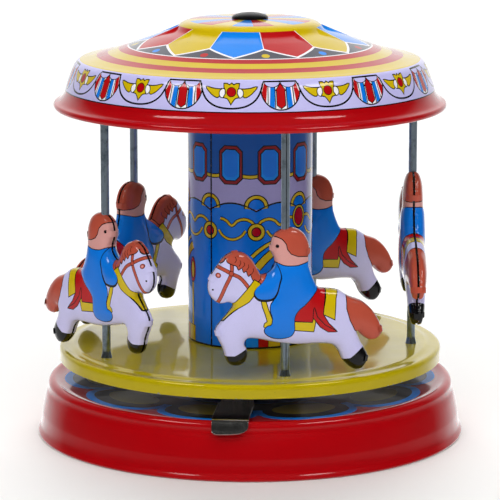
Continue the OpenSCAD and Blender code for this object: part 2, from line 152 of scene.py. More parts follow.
# ---------- finishes
finish = {
    "redInk": "b00009",
    "lavenderInk": "c4c0f0",
    "yellowInk": "d0b404",
    "turntableYellow": "c6b202",
    "blueInk": "0084ea",
    "deepBlueInk": "0550aa",
    "columnBlueInk": "0272e4",
    "columnLavenderInk": "a49cd6",
    "darkRedInk": "8e1020",
    "goldInk": "cfae1c",
    "whiteInk": "f2f0f4",
    "greyInk": "4c4c56",
    "blackInk": "0b0a0d",
    "maneInk": "b9503c",
    "skinInk": "d79a94",
    "horseInk": "cdc9f2",
    "horseYellow": "d0b505",
    "horseRed": "b80a10",
    "horseBlue": "0a78e0",
    "oliveInk": "a89418",
    "bareTin": "c9c9c4",
    "zinc": "b9bec2",
    "pole": "bfd0de",
    "brass": "c9a253",
    "steel": "a9aaac",
    "bluedSteel": "2f3e63",
    "castZinc": "8d8f92",
    "blackPlastic": "0a0a0b",
    "varnishRoughness": 0.07,
    "inkRoughness": 0.34,
    "edgeWear": 0.56,
}


def coordinates(tree):
    # object coordinates, shifted by a value of each object's own, so that copies don't share their marks
    place = node(tree, "ShaderNodeTexCoord")
    own = node(tree, "ShaderNodeObjectInfo")
    shift = node(tree, "ShaderNodeMath", {0: own.outputs["Random"], 1: 0.37}, operation="MULTIPLY")
    return node(tree, "ShaderNodeVectorMath", {0: place.outputs["Object"], 1: shift.outputs[0]},
                operation="ADD").outputs[0]


def newMaterial(name):
    material = bpy.data.materials.new(name)
    material.use_nodes = True
    material.node_tree.nodes.clear()
    return material, material.node_tree


def printedInk(name, colour, metal=0.0, density=0.05, varnish=1.0):
    # offset-lithographed tinplate: flat ink under a hard clear varnish, which gives the wet, sharp gloss
    material, tree = newMaterial(name)
    place = coordinates(tree)
    ink = linear(colour)
    cloud = node(tree, "ShaderNodeTexNoise", {"Vector": place, "Scale": perSize(9), "Detail": 3.0})
    grain = node(tree, "ShaderNodeTexNoise", {"Vector": place, "Scale": perSize(0.35), "Detail": 2.0})
    mottle = node(tree, "ShaderNodeMath", {0: cloud.outputs["Fac"], 1: grain.outputs["Fac"]},
                  operation="ADD")
    depth = node(tree, "ShaderNodeMapRange", {"Value": mottle.outputs[0], "From Min": 0.6,
                                              "From Max": 1.4,
                                              "To Min": 1 - density, "To Max": 1 + density})
    inkLayer = node(tree, "ShaderNodeMix", {"Factor": 1.0, 6: ink, 7: depth.outputs[0]}, data_type="RGBA",
                    blend_type="MULTIPLY")
    # tiny dark specks: dust and pinholes in the print
    speck = node(tree, "ShaderNodeTexVoronoi", {"Vector": place, "Scale": perSize(5.5)})
    dot = node(tree, "ShaderNodeMapRange", {"Value": speck.outputs["Distance"], "From Min": 0.022,
                                            "From Max": 0.03, "To Min": 0.55, "To Max": 0.0})
    specked = node(tree, "ShaderNodeMix", {"Factor": dot.outputs[0], 6: inkLayer.outputs[2],
                                           7: linear("2a2320")}, data_type="RGBA")
    # bare tin along the sheet's cut and folded edges
    edge = node(tree, "ShaderNodeAttribute", attribute_name="worn")
    chips = node(tree, "ShaderNodeTexNoise", {"Vector": place, "Scale": perSize(1.6), "Detail": 4.0})
    reach = node(tree, "ShaderNodeMath", {0: edge.outputs["Fac"], 1: chips.outputs["Fac"]},
                 operation="MULTIPLY")
    worn = node(tree, "ShaderNodeMapRange", {"Value": reach.outputs[0], "From Min": finish["edgeWear"],
                                             "From Max": finish["edgeWear"] + 0.06})
    colourOut = node(tree, "ShaderNodeMix", {"Factor": worn.outputs[0], 6: specked.outputs[2],
                                             7: linear(finish["bareTin"])}, data_type="RGBA")
    metallic = node(tree, "ShaderNodeMapRange", {"Value": worn.outputs[0], "To Min": metal,
        "To Max": 1.0})
    smear = node(tree, "ShaderNodeTexNoise", {"Vector": place, "Scale": perSize(14), "Detail": 5.0,
                                              "Roughness": 0.6})
    roughness = node(tree, "ShaderNodeMapRange", {"Value": smear.outputs["Fac"], "From Min": 0.3,
        "From Max": 0.7,
                                                  "To Min": finish["inkRoughness"] - 0.06,
                                                  "To Max": finish["inkRoughness"] + 0.06})
    # shallow pressing waves in the sheet and the varnish's fine peel
    wave = node(tree, "ShaderNodeTexNoise", {"Vector": place, "Scale": perSize(16), "Detail": 1.0})
    peel = node(tree, "ShaderNodeTexNoise", {"Vector": place, "Scale": perSize(1.1), "Detail": 1.0})
    waveBump = node(tree, "ShaderNodeBump", {"Height": wave.outputs["Fac"], "Distance": 0.12 * mm,
                                             "Strength": 1.0})
    peelBump = node(tree, "ShaderNodeBump", {"Height": peel.outputs["Fac"], "Distance": 0.0016 * mm,
                                             "Strength": 1.0,
                                             "Normal": waveBump.outputs[0]})
    shader = node(tree, "ShaderNodeBsdfPrincipled", {
        "Base Color": colourOut.outputs[2], "Metallic": metallic.outputs[0],
        "Roughness": roughness.outputs[0],
        "Specular IOR Level": 0.06, "Coat Weight": varnish, "Coat Roughness": finish["varnishRoughness"],
        "Coat IOR": 1.5,
        "Normal": peelBump.outputs[0], "Coat Normal": peelBump.outputs[0]})
    node(tree, "ShaderNodeOutputMaterial", {"Surface": shader.outputs[0]})
    return material


def metal(name, colour, roughness, streak=(1, 1, 1), streakSize=0.6, tarnish=0.25, dark="4a4640",
          bump=0.004):
    # plated, drawn or cast metal: fine directional streaks, darker marks and edges rubbed bright
    material, tree = newMaterial(name)
    place = coordinates(tree)
    stretched = node(tree, "ShaderNodeVectorMath", {0: place, 1: streak}, operation="MULTIPLY")
    lines = node(tree, "ShaderNodeTexNoise", {"Vector": stretched.outputs[0],
                                              "Scale": perSize(streakSize), "Detail": 4.0,
                                              "Roughness": 0.65})
    marks = node(tree, "ShaderNodeTexNoise", {"Vector": place, "Scale": perSize(4), "Detail": 5.0,
                                              "Roughness": 0.7})
    stain = node(tree, "ShaderNodeMapRange", {"Value": marks.outputs["Fac"], "From Min": 0.5,
                                              "From Max": 0.72, "To Max": tarnish})
    tone = node(tree, "ShaderNodeMapRange", {"Value": lines.outputs["Fac"], "From Min": 0.3,
                                             "From Max": 0.7, "To Min": 0.82, "To Max": 1.08})
    base = node(tree, "ShaderNodeMix", {"Factor": 1.0, 6: linear(colour), 7: tone.outputs[0]},
                data_type="RGBA", blend_type="MULTIPLY")
    aged = node(tree, "ShaderNodeMix", {"Factor": stain.outputs[0], 6: base.outputs[2], 7: linear(dark)},
                data_type="RGBA")
    corner = node(tree, "ShaderNodeBevel", {"Radius": 0.25 * mm}, samples=4)
    flat = node(tree, "ShaderNodeNewGeometry")
    turn = node(tree, "ShaderNodeVectorMath", {0: corner.outputs[0], 1: flat.outputs["Normal"]},
                operation="DOT_PRODUCT")
    rubbed = node(tree, "ShaderNodeMapRange", {"Value": turn.outputs["Value"], "From Min": 0.97,
                                               "From Max": 0.8, "To Max": 0.5})
    bright = node(tree, "ShaderNodeMix", {"Factor": rubbed.outputs[0], 6: aged.outputs[2],
                                          7: linear("e4e2dc")}, data_type="RGBA")
    gloss = node(tree, "ShaderNodeMapRange", {"Value": lines.outputs["Fac"], "From Min": 0.3,
                                              "From Max": 0.7,
                                              "To Min": roughness * 0.8, "To Max": roughness * 1.3})
    relief = node(tree, "ShaderNodeBump", {"Height": lines.outputs["Fac"], "Distance": bump * mm,
                                           "Strength": 1.0, "Normal": corner.outputs[0]})
    shader = node(tree, "ShaderNodeBsdfPrincipled", {
        "Base Color": bright.outputs[2], "Metallic": 1.0, "Roughness": gloss.outputs[0],
        "Normal": relief.outputs[0]})
    node(tree, "ShaderNodeOutputMaterial", {"Surface": shader.outputs[0]})
    return material


def moulded(name, colour, roughness):
    # injection-moulded plastic: deep even colour, a soft satin skin and a few lint specks
    material, tree = newMaterial(name)
    place = coordinates(tree)
    cloud = node(tree, "ShaderNodeTexNoise", {"Vector": place, "Scale": perSize(2.5), "Detail": 4.0})
    tone = node(tree, "ShaderNodeMapRange", {"Value": cloud.outputs["Fac"], "To Min": 0.8, "To Max": 1.5})
    base = node(tree, "ShaderNodeMix", {"Factor": 1.0, 6: linear(colour), 7: tone.outputs[0]},
                data_type="RGBA", blend_type="MULTIPLY")
    gloss = node(tree, "ShaderNodeMapRange", {"Value": cloud.outputs["Fac"], "To Min": roughness - 0.08,
                                              "To Max": roughness + 0.12})
    skin = node(tree, "ShaderNodeTexNoise", {"Vector": place, "Scale": perSize(0.3), "Detail": 2.0})
    relief = node(tree, "ShaderNodeBump", {"Height": skin.outputs["Fac"], "Distance": 0.004 * mm,
                                           "Strength": 1.0})
    shader = node(tree, "ShaderNodeBsdfPrincipled", {"Base Color": base.outputs[2],
        "Roughness": gloss.outputs[0], "Normal": relief.outputs[0], "IOR": 1.5})
    node(tree, "ShaderNodeOutputMaterial", {"Surface": shader.outputs[0]})
    return material


inks = {
    "red ink": printedInk("lithographed red on tinplate", finish["redInk"]),
    "lavender ink": printedInk("lithographed lavender on tinplate", finish["lavenderInk"]),
    "yellow ink": printedInk("lithographed yellow on tinplate", finish["yellowInk"]),
    "turntable yellow": printedInk("transparent yellow lacquer on tinplate", finish["turntableYellow"],
                                   metal=0.2),
    "blue ink": printedInk("lithographed bright blue on tinplate", finish["blueInk"]),
    "deep blue ink": printedInk("lithographed deep blue on tinplate", finish["deepBlueInk"]),
    "column blue": printedInk("lithographed mid blue on tinplate", finish["columnBlueInk"]),
    "column lavender": printedInk("lithographed dark lavender on tinplate", finish["columnLavenderInk"]),
    "dark red ink": printedInk("lithographed dark red on tinplate", finish["darkRedInk"]),
    "gold ink": printedInk("lithographed gold ochre on tinplate", finish["goldInk"]),
    "white ink": printedInk("lithographed white on tinplate", finish["whiteInk"]),
    "grey ink": printedInk("lithographed slate grey on tinplate", finish["greyInk"]),
    "black ink": printedInk("lithographed black key line on tinplate", finish["blackInk"]),
    "mane ink": printedInk("lithographed chestnut on tinplate", finish["maneInk"]),
    "skin ink": printedInk("lithographed rose on tinplate", finish["skinInk"]),
    "horse ink": printedInk("lithographed pale lavender on tinplate", finish["horseInk"]),
    "horse yellow": printedInk("lithographed harness yellow on tinplate", finish["horseYellow"]),
    "horse red": printedInk("lithographed blanket red on tinplate", finish["horseRed"]),
    "horse blue": printedInk("lithographed suit blue on tinplate", finish["horseBlue"]),
    "deck blue": printedInk("thinly varnished bright blue on tinplate", finish["blueInk"], varnish=0.35),
    "deck deep blue": printedInk("thinly varnished deep blue on tinplate", finish["deepBlueInk"],
                                 varnish=0.35),
    "deck black": printedInk("thinly varnished black on tinplate", finish["blackInk"], varnish=0.35),
    "deck olive": printedInk("thinly varnished olive yellow on tinplate", finish["oliveInk"],
                             varnish=0.35),
    "tinplate": metal("bare bright tinplate", finish["bareTin"], 0.24, streak=(1, 6, 1), streakSize=2.5),
    "lever tin": metal("bent tinned steel strip", finish["bareTin"], 0.2, streak=(8, 1, 1),
                       streakSize=2.2, tarnish=0.35),
    "zinc plate": metal("bright zinc-plated steel tube", finish["zinc"], 0.22, streak=(1, 1, 0.04),
                        streakSize=0.5, tarnish=0.4, dark="2e3336"),
    "pole tube": metal("drawn zinc-plated pole tube", finish["pole"], 0.3, streak=(1, 1, 0.04),
                       streakSize=0.5, tarnish=0.6, dark="2c4257"),
    "brass": metal("turned brass", finish["brass"], 0.24, streak=(1, 1, 5), streakSize=1.2,
                   dark="5a4420"),
    "steel": metal("ground spring steel", finish["steel"], 0.26, streak=(1, 7, 1), streakSize=1.5),
    "blued steel": metal("blued spring steel strip", finish["bluedSteel"], 0.25, streak=(1, 1, 6),
                         streakSize=1.2, dark="1c1a22"),
    "cast zinc": metal("die-cast zinc", finish["castZinc"], 0.42, streakSize=0.5, tarnish=0.35,
                       bump=0.02),
    "black plastic": moulded("black moulded polystyrene", finish["blackPlastic"], 0.28),
}
print("finishes made")


# ---------- meshes
def build(name, parts, location=(0, 0, 0), turn=0.0, mesh=None):
    # parts: (points in mm, normals, faces, one ink per face, wear per point)
    if mesh is None:
        points = np.concatenate([p[0] for p in parts]) * mm
        normals = np.concatenate([p[1] for p in parts])
        worn = np.concatenate([p[4] for p in parts])
        faces, faceInks, start = [], [], 0
        for p in parts:
            faces += [tuple(int(i) + start for i in f) for f in p[2]]
            faceInks += list(p[3])
            start += len(p[0])
        mesh = bpy.data.meshes.new(name)
        mesh.from_pydata(points.tolist(), [], faces)
        used = sorted(set(faceInks))
        for ink in used:
            mesh.materials.append(inks[ink])
        mesh.polygons.foreach_set("material_index", [used.index(i) for i in faceInks])
        mesh.polygons.foreach_set("use_smooth", [True] * len(faces))
        wear = mesh.attributes.new("worn", "FLOAT", "POINT")
        wear.data.foreach_set("value", worn.astype(np.float32))
        mesh.update()
        mesh.normals_split_custom_set_from_vertices(normals.tolist())
    piece = bpy.data.objects.new(name, mesh)
    bpy.context.scene.collection.objects.link(piece)
    piece.location = Vector(location) * mm
    piece.rotation_euler = (0, 0, math.radians(turn))
    return piece


def printed(width, edges, rows, layers):
    # cuts a rectangle 0..width by rows into triangles, each with the ink of the topmost layer over it
    low, high = rows[0], rows[-1]
    border = [(x, low) for x in edges] + [(width, y) for y in rows[1:]]
    border += [(x, high) for x in edges[-2::-1]] + [(0, y) for y in rows[-2:0:-1]]
    points = [Vector(p) for p in border]
    faces = [list(range(len(border)))]
    names = [layers[0][0]]
    for ink, outline in layers[1:]:
        start = len(points)
        points += [Vector((x, min(max(y, low), high))) for x, y in leftward(outline)]
        faces.append(list(range(start, len(points))))
        names.append(ink)
    points += [Vector((x, y)) for x in edges[1:-1] for y in rows[1:-1]]
    flat, _, triangles, _, _, origin = geometry.delaunay_2d_cdt(points, [], faces, 1, 1e-5, True)
    kept = [(t, names[max(o)]) for t, o in zip(triangles, origin) if 0 in o and names[max(o)]]
    return np.array([tuple(v) for v in flat]), [t for t, _ in kept], [i for _, i in kept]


def profile(points, step=0.25):
    p = smooth(points, step=step)
    along = np.concatenate([[0], np.cumsum(np.linalg.norm(np.diff(p, axis=0), axis=1))])
    d = np.gradient(p, axis=0)
    d /= np.linalg.norm(d, axis=1)[:, None]
    bend = np.abs(np.diff(np.unwrap(np.arctan2(d[:, 1], d[:, 0])), prepend=0))
    bend[0] = 0
    effort = np.cumsum(bend) / math.radians(7) + along / 4
    rows = np.interp(np.linspace(0, effort[-1], max(3, int(effort[-1]) + 2)), effort, along)
    return {"along": along, "r": p[:, 0], "z": p[:, 1], "nr": d[:, 1], "nz": -d[:, 0], "rows": rows,
            "length": along[-1]}


def onProfile(path, angle, along, offset=0.0, sign=1.0):
    r, z, nr, nz = (np.interp(along, path["along"], path[k]) for k in ("r", "z", "nr", "nz"))
    size = np.hypot(nr, nz)
    nr, nz = nr / size, nz / size
    r, z = r + nr * offset, z + nz * offset
    points = np.stack([r * np.sin(angle), -r * np.cos(angle), z], 1)
    normals = np.stack([nr * np.sin(angle), -nr * np.cos(angle), nz], 1) * sign
    return points, normals


def plainGrid(path, columns, rows, ink, offset=0.0, sign=1.0, start=0.0, sweep=2 * math.pi, worn=0.0):
    angle, along = np.meshgrid(start + np.linspace(0, sweep, columns + 1), rows)
    points, normals = onProfile(path, angle.ravel(), along.ravel(), offset, sign)
    wide = columns + 1
    faces = [(j * wide + i, j * wide + i + 1, (j + 1) * wide + i + 1, (j + 1) * wide + i)
             for j in range(len(rows) - 1) for i in range(columns)]
    if sign < 0:
        faces = [f[::-1] for f in faces]
    return points, normals, faces, [ink] * len(faces), np.full(len(points), worn)


def rimStrip(path, end, thickness, columns, ink, start=0.0, sweep=2 * math.pi):
    # the cut edge of the sheet at the start (0) or end (1) of its profile
    along = 0.0 if end == 0 else path["length"]
    angle = start + np.linspace(0, sweep, columns + 1)
    outer, n = onProfile(path, angle, np.full(columns + 1, along))
    inner, _ = onProfile(path, angle, np.full(columns + 1, along), -thickness)
    out = np.cross(np.stack([np.cos(angle), np.sin(angle), 0 * angle], 1), n) * (1 if end == 0 else -1)
    faces = []
    for i in range(columns):
        face = (i, columns + 1 + i, columns + 2 + i, i + 1)
        faces.append(face if end == 0 else face[::-1])
    return np.concatenate([outer, inner]), np.concatenate([out,
        out]), faces, [ink] * len(faces), np.ones(2 * columns + 2)


def wearAlong(path, along, width=0.8):
    # 1 at the sheet's two cut edges, falling to 0 within a short way
    return np.clip(1 - np.minimum(along, path["length"] - along) / width, 0, 1)


def sheet(path, thickness, ink, inside, turn=1.0, layers=(), columns=240, start=0.0, sweep=2 * math.pi,
          firstRow=0.0):
    # a spun or pressed sheet: printed outer face, plain inner face and both cut edges; turn is mm per radian
    rows = path["rows"]
    parts = []
    if layers:
        low = rows[rows <= firstRow + 1e-6] if firstRow else rows[:1]
        plain = np.append(low[low < firstRow], firstRow) if firstRow else None
        if plain is not None:
            made = plainGrid(path, columns, plain, ink, start=start, sweep=sweep)
            parts.append(made[:4] + (wearAlong(path, np.repeat(plain, columns + 1)),))
        upper = np.insert(rows[rows > firstRow + 1e-6], 0, firstRow)
        edges = np.linspace(0, sweep * turn, columns + 1)
        flat, faces, faceInks = printed(sweep * turn, list(edges), list(upper), [(ink, None)]
                                        + list(layers))
        points, normals = onProfile(path, start + flat[:, 0] / turn, flat[:, 1])
        parts.append((points, normals, faces, faceInks, wearAlong(path, flat[:, 1])))
    else:
        made = plainGrid(path, columns, rows, ink, start=start, sweep=sweep)
        parts.append(made[:4] + (wearAlong(path, np.repeat(rows, columns + 1)),))
    parts.append(plainGrid(path, columns, rows, inside, -thickness, -1.0, start, sweep))
    parts += [rimStrip(path, end, thickness, columns, "tinplate", start, sweep) for end in (0, 1)]
    return parts


def alongAt(path, r=None, z=None):
    if r is not None:
        order = np.argsort(path["r"][path["z"] > path["z"].min() + 3])
        keep = path["z"] > path["z"].min() + 3
        return float(np.interp(r, path["r"][keep][order], path["along"][keep][order]))
    return float(np.interp(z, path["z"], path["along"]))


def ringBand(path, turn, low, high, steps=240):
    # a full ring of print between two distances along the profile
    xs = np.linspace(-0.2, 2 * math.pi * turn + 0.2, steps)
    return [(x, low) for x in xs] + [(x, high) for x in xs[::-1]]


# ---------- canopy
canopy = {
    "rim": [(71.7, 122.45), (72.3, 122.5), (72.7, 123.0), (72.75, 123.8), (72.35, 124.5), (71.6, 124.8),
            (70.6, 125.3), (69.5, 126.5),
            (68.7, 127.9), (68.3, 129.4), (68, 130.6),
            (66.6, 134.4), (65.3, 137.6), (64.3, 139.2), (63, 140.2), (60, 140.8), (57, 141.5),
            (52, 142.8), (46, 144.8),
            (39.5, 147.1), (33.5, 149.2), (28.2, 150.8), (27.2, 151.5), (26, 152.9), (24.6, 153.8),
            (22.5, 154.4),
            (18, 154.7), (9, 154.9), (2.5, 154.9)],
    "bandTurn": 65.5,
    "coneTurn": 45.0,
    "bandFoot": 128.6,
    "bandTo": 140.25,
    "keyLine": 0.46,
    "firstShield": 9.3,
    "firstFlower": -5.65,
    "firstPanel": -7.5,
}


def bandArt(path):
    turn = canopy["bandTurn"]
    line = canopy["keyLine"]
    shieldTop, shoulder, foot, half = 139.4, 137.1, 130.4, 6.6

    def low(x):
        return shoulder - (shoulder - foot) * math.sqrt(max(0.0, 1 - (x / half) ** 2))

    art = []
    shield = [(-half, shoulder), (-half * 0.86, shieldTop), (half * 0.86, shieldTop), (half, shoulder)]
    shield += [(x, low(x)) for x in half * np.cos(np.linspace(0, math.pi, 22)[1:-1])]
    art += outlined("white ink", shield, line)
    for ink, x0, x1 in (("horse red", 0.78, 0.99), ("horse blue", 0.34, 0.6), ("horse blue", -0.6, -0.34),
                        ("horse red", -0.99, -0.78)):
        xs = np.linspace(x0 * half, x1 * half, 7)
        edge = [(x, max(low(x), foot) + 0.02) for x in xs]
        stripe = edge + [(x1 * half * 0.87, shieldTop - 0.3), (x0 * half * 0.87, shieldTop - 0.3)]
        art.append((ink, np.array(stripe)))
    arrow = [(0, foot + 0.4), (1.35, foot + 1.4), (1.35, shoulder - 0.3), (1.6, shoulder - 0.3),
             (0, shieldTop - 0.6),
             (-1.6, shoulder - 0.3), (-1.35, shoulder - 0.3), (-1.35, foot + 1.4)]
    art += outlined("horse red", arrow, 0.3)
    for side in (-1, 1):
        art.append(("black ink", stroke([(side * 0.3 * half, low(2)),
                                         (side * 0.3 * half, shoulder + 1.2)], 0.34)))
        art.append(("black ink", stroke([(side * 0.68 * half, low(4.5)),
                                         (side * 0.66 * half, shoulder + 1.2)], 0.34)))
        scallop = [(side * 2.85 + 2.55 * math.cos(a), shieldTop - 1.5 * math.sin(a))
                   for a in np.linspace(0, math.pi, 13)]
        art += outlined("lavender ink", scallop, 0.25)
    shieldArt = art

    swag = smooth([(-10.9, 139.0), (-10.2, 136.6), (-8.4, 133.6), (-5.2, 131.5), (0, 130.7),
                   (5.2, 131.5), (8.4, 133.6), (10.2, 136.6), (10.9, 139.0)], step=0.8)
    art = [("black ink", stroke(swag, 0.62))]
    for side in (-1, 1):
        leaf = [(side * x, z) for x, z in ((2.2, 137.0), (4.4, 137.1), (6.4, 137.3), (8.8, 137.8),
                                           (7.6, 136.3), (6.2, 135.1),
                                           (4.7, 134.5), (3.9, 135.2), (2.6, 136.0))]
        art += outlined("yellow ink", smooth(leaf, True, 0.7), 0.34)
        art += outlined("white ink", disc(side * 2.9, 135.8, 1.15, 1.4), 0.3)
    crown = mirrored([(0, 139.0), (0.8, 138.4), (1.6, 138.9), (2.6, 138.9), (2.5, 137.8), (2.0, 136.9),
                      (1.9, 135.6), (2.5, 134.5),
                      (1.4, 134.2), (0.8, 133.6), (0, 132.3)])
    art += outlined("yellow ink", crown, 0.34)
    art += outlined("red ink", disc(0, 136.2, 1.45), 0.25)
    flowerArt = art

    # a black line between the band and the flare below it
    bottom = alongAt(path, z=129.55)
    layers = [("black ink", ringBand(path, turn, alongAt(path, z=129.15), bottom)),
              ("lavender ink", ringBand(path, turn, bottom, path["bandEnd"]))]
    for art, first in ((shieldArt, canopy["firstShield"]), (flowerArt, canopy["firstFlower"])):
        for k in range(-8, 9):
            x0 = math.radians(first + 30 * k + 180) * turn
            if -12 < x0 < 2 * math.pi * turn + 12:
                for ink, outline in art:
                    layers.append((ink, [(x0 + x, alongAt(path, z=z)) for x, z in outline]))
    return layers


def coneArt(path, base):
    turn = canopy["coneTurn"]

    def polar(points):
        return [(math.radians(a + 180) * turn, alongAt(path, r=r) - base) for a, r in points]

    def ringOf(ink, r0, r1):
        return ink, ringBand(path, turn, alongAt(path, r=r0) - base, alongAt(path, r=r1) - base)

    layers = [ringOf("red ink", 56.6, 52.5), ringOf("yellow ink", 52.5, 48.5),
              ringOf("red ink", 48.5, 45.3),
              ringOf("white ink", 45.3, 44.8), ringOf("grey ink", 44.8, 26)]
    colours = ("blue ink", "horse red", "yellow ink")
    dots = ("yellow ink", "blue ink", "horse red")
    for k in range(-8, 9):
        a = canopy["firstPanel"] + 30 * k
        if -200 < a < 200:
            # each panel is a kite whose sides are cut fine enough to follow the cone
            right = [(a + 15 * t, 43.8 - 6.6 * t) for t in np.linspace(0, 1, 7)]
            edge = [(a + 15, 37.2), (a + 15, 34), (a + 15, 30), (a + 15, 26.2)]
            top = [(a + 15 - t, 26.2) for t in np.arange(2, 30, 2)]
            left = [(2 * a - b, r) for b, r in reversed(right[1:] + edge)]
            outer = [(b, r + (1.0 if r > 37.3 else 0.9) if r > 37 else r) for b, r in right + edge + top
                     + left]
            layers.append(("white ink", polar(outer)))
            layers.append((colours[k % 3], polar(right + edge + top + left)))
    for k in range(-8, 9):
        a = canopy["firstPanel"] + 30 * k + 15
        if -200 < a < 200:
            layers.append((dots[k % 3], polar(disc(a, 42.6, 2.0, 1.4, 18))))
            layers.append(("white ink", polar([(a - 0.25, 37.2), (a + 0.25, 37.2), (a + 0.35, 26.3),
                                               (a - 0.35, 26.3)])))
    layers.append(ringOf("yellow ink", 26.25, 22.6))
    wedges = ("blue ink", "horse red", "yellow ink")
    for k in range(19):
        a = -17 + 20 * (k - 9)
        arc = [(a + t, 22.6) for t in np.linspace(0, 20, 8)]
        inner = [(a + t, 3.0) for t in np.linspace(20, 0, 8)]
        layers.append((wedges[(k - 9) % 3], polar(arc + inner)))
    return layers


path = profile(canopy["rim"])
split = alongAt(path, z=canopy["bandTo"])


def cutPath(path, start, end):
    # one stretch of a profile as a profile of its own
    along = np.unique(np.concatenate([[start],
                                      path["along"][(path["along"] > start) & (path["along"] < end)],
                                      [end]]))
    rows = path["rows"][(path["rows"] > start + 0.4) & (path["rows"] < end - 0.4)]
    part = {k: np.interp(along, path["along"], path[k]) for k in ("r", "z", "nr", "nz")}
    part.update(along=along - start, length=end - start, rows=np.concatenate([[start], rows, [end]])
                - start)
    return part


def canopySheet(path, ink, layers, turn, firstRow=0.0):
    return sheet(path, sheetTin, ink, "tinplate", turn, layers, 240, -math.pi, 2 * math.pi, firstRow)


band = cutPath(path, 0, split)
band["bandEnd"] = split
cone = cutPath(path, split, path["length"])
bandParts = canopySheet(band, "red ink", bandArt(band), canopy["bandTurn"],
                        alongAt(band, z=canopy["bandFoot"]))
coneParts = canopySheet(cone, "yellow ink", coneArt(path, split), canopy["coneTurn"])
canopyPiece = build("canopy_print", bandParts[:-1] + coneParts[:-2] + coneParts[-1:])
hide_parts("canopy")
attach(canopyPiece, "carousel")
print("canopy made", len(canopyPiece.data.polygons))


# ---------- base, with its printed deck
base = {
    "shell": [(77.2, 0.05), (79.2, 0.0), (79.85, 0.35), (79.95, 0.9), (79.6, 1.6), (79, 2.6), (78.7, 3.8),
              (78.45, 6), (78.3, 8),
              (77.7, 11), (77, 14), (76.5, 15.5), (76.1, 16.4), (75.9, 17.6)]
    + [(73.7 + 2.2 * math.cos(math.radians(a)), 18.45 + 2.2 * math.sin(math.radians(a)))
       for a in range(10, 126, 23)]
    + [(71.4, 19.85), (70.2, 19.6), (64, 19.6), (40, 19.6), (20, 19.6), (5.6, 19.6)],
    "deckTurn": 60.0,
    "lobes": 10,
    "firstLobe": 20.8,
    "lobeTip": 69.8,
    "lobeCusp": 59.5,
}


def deckArt(path):
    turn = base["deckTurn"]

    def polar(points):
        return [(math.radians(a + 180) * turn, alongAt(path, r=r)) for a, r in points]

    layers = [("deck deep blue", ringBand(path, turn, alongAt(path, r=62), alongAt(path, r=30)))]
    half = 180 / base["lobes"]
    shapes = []
    for k in range(-1, base["lobes"] + 2):
        a = base["firstLobe"] + 2 * half * k - 180

        def lobe(tip, cusp, narrow):
            turnsAt = np.linspace(-1, 1, 25)
            return [(a + half * narrow * t, cusp + (tip - cusp) * math.sqrt(max(0, 1 - abs(t) ** 2.2)))
                    for t in turnsAt]

        if -205 < a < 205:
            shapes.append((lobe(base["lobeTip"], base["lobeCusp"], 1.0),
                           lobe(base["lobeTip"] - 3, base["lobeCusp"] - 1.8, 0.9), a))
    for outer, _, a in shapes:
        layers.append(("deck blue", polar(outer + [(a + half, 50), (a - half, 50)])))
    for _, inner, a in shapes:
        layers.append(("deck black", polar(inner + [(a + half * 0.9, 49), (a - half * 0.9, 49)])))
    layers.append(("deck black", ringBand(path, turn, alongAt(path, r=54), alongAt(path, r=8))))
    for _, _, a in shapes:
        layers.append(("deck olive", polar(disc(a, 54.6, 12.5, 7.2, 28))))
    layers.append(("deck deep blue", ringBand(path, turn, alongAt(path, r=44), alongAt(path, r=8))))
    return layers


path = profile(base["shell"])
firstPrint = alongAt(path, r=71.5)
basePiece = build("base_print", sheet(path, sheetTin, "red ink", "tinplate", base["deckTurn"],
                                      deckArt(path), 240, -math.pi, 2 * math.pi, firstPrint))
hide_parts("base_shell")
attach(basePiece, "base")
print("base made", len(basePiece.data.polygons))


# ---------- turntable
turntable = {
    "path": [(71.6, 28.1), (71.6, 30), (71.55, 31.9), (71.3, 32.6), (70.7, 33.05), (69.8, 33.15),
             (68.4, 33.15), (67.3, 33.3),
             (66.4, 33.55), (65.6, 33.7), (64.4, 33.7), (56.5, 33.75), (48, 34.05), (40, 34.4),
             (32, 34.8), (25, 35.1), (12, 35.1), (4, 35.1)],
}
path = profile(turntable["path"])
# the underside gets slate grey ink as painted shade: it keeps the space between the turntable and the deck,
# and the deck's reflection of it, dark
tablePiece = build("turntable_sheet", sheet(path, sheetTin, "turntable yellow", "grey ink", columns=300))
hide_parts("turntable")
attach(tablePiece, "carousel")
print("turntable made")


# ---------- centre column, printed flat and rolled to a lapped seam
column = {
    "radius": 23.2,
    "low": 35.1,
    "high": 126.0,
    "seam": -38.0,
    "gap": 0.37,
    "key": 0.42,
    "windows": 10,
    "firstWindow": -18.0,
    "stations": 8,
    "firstStation": 5.6,
}


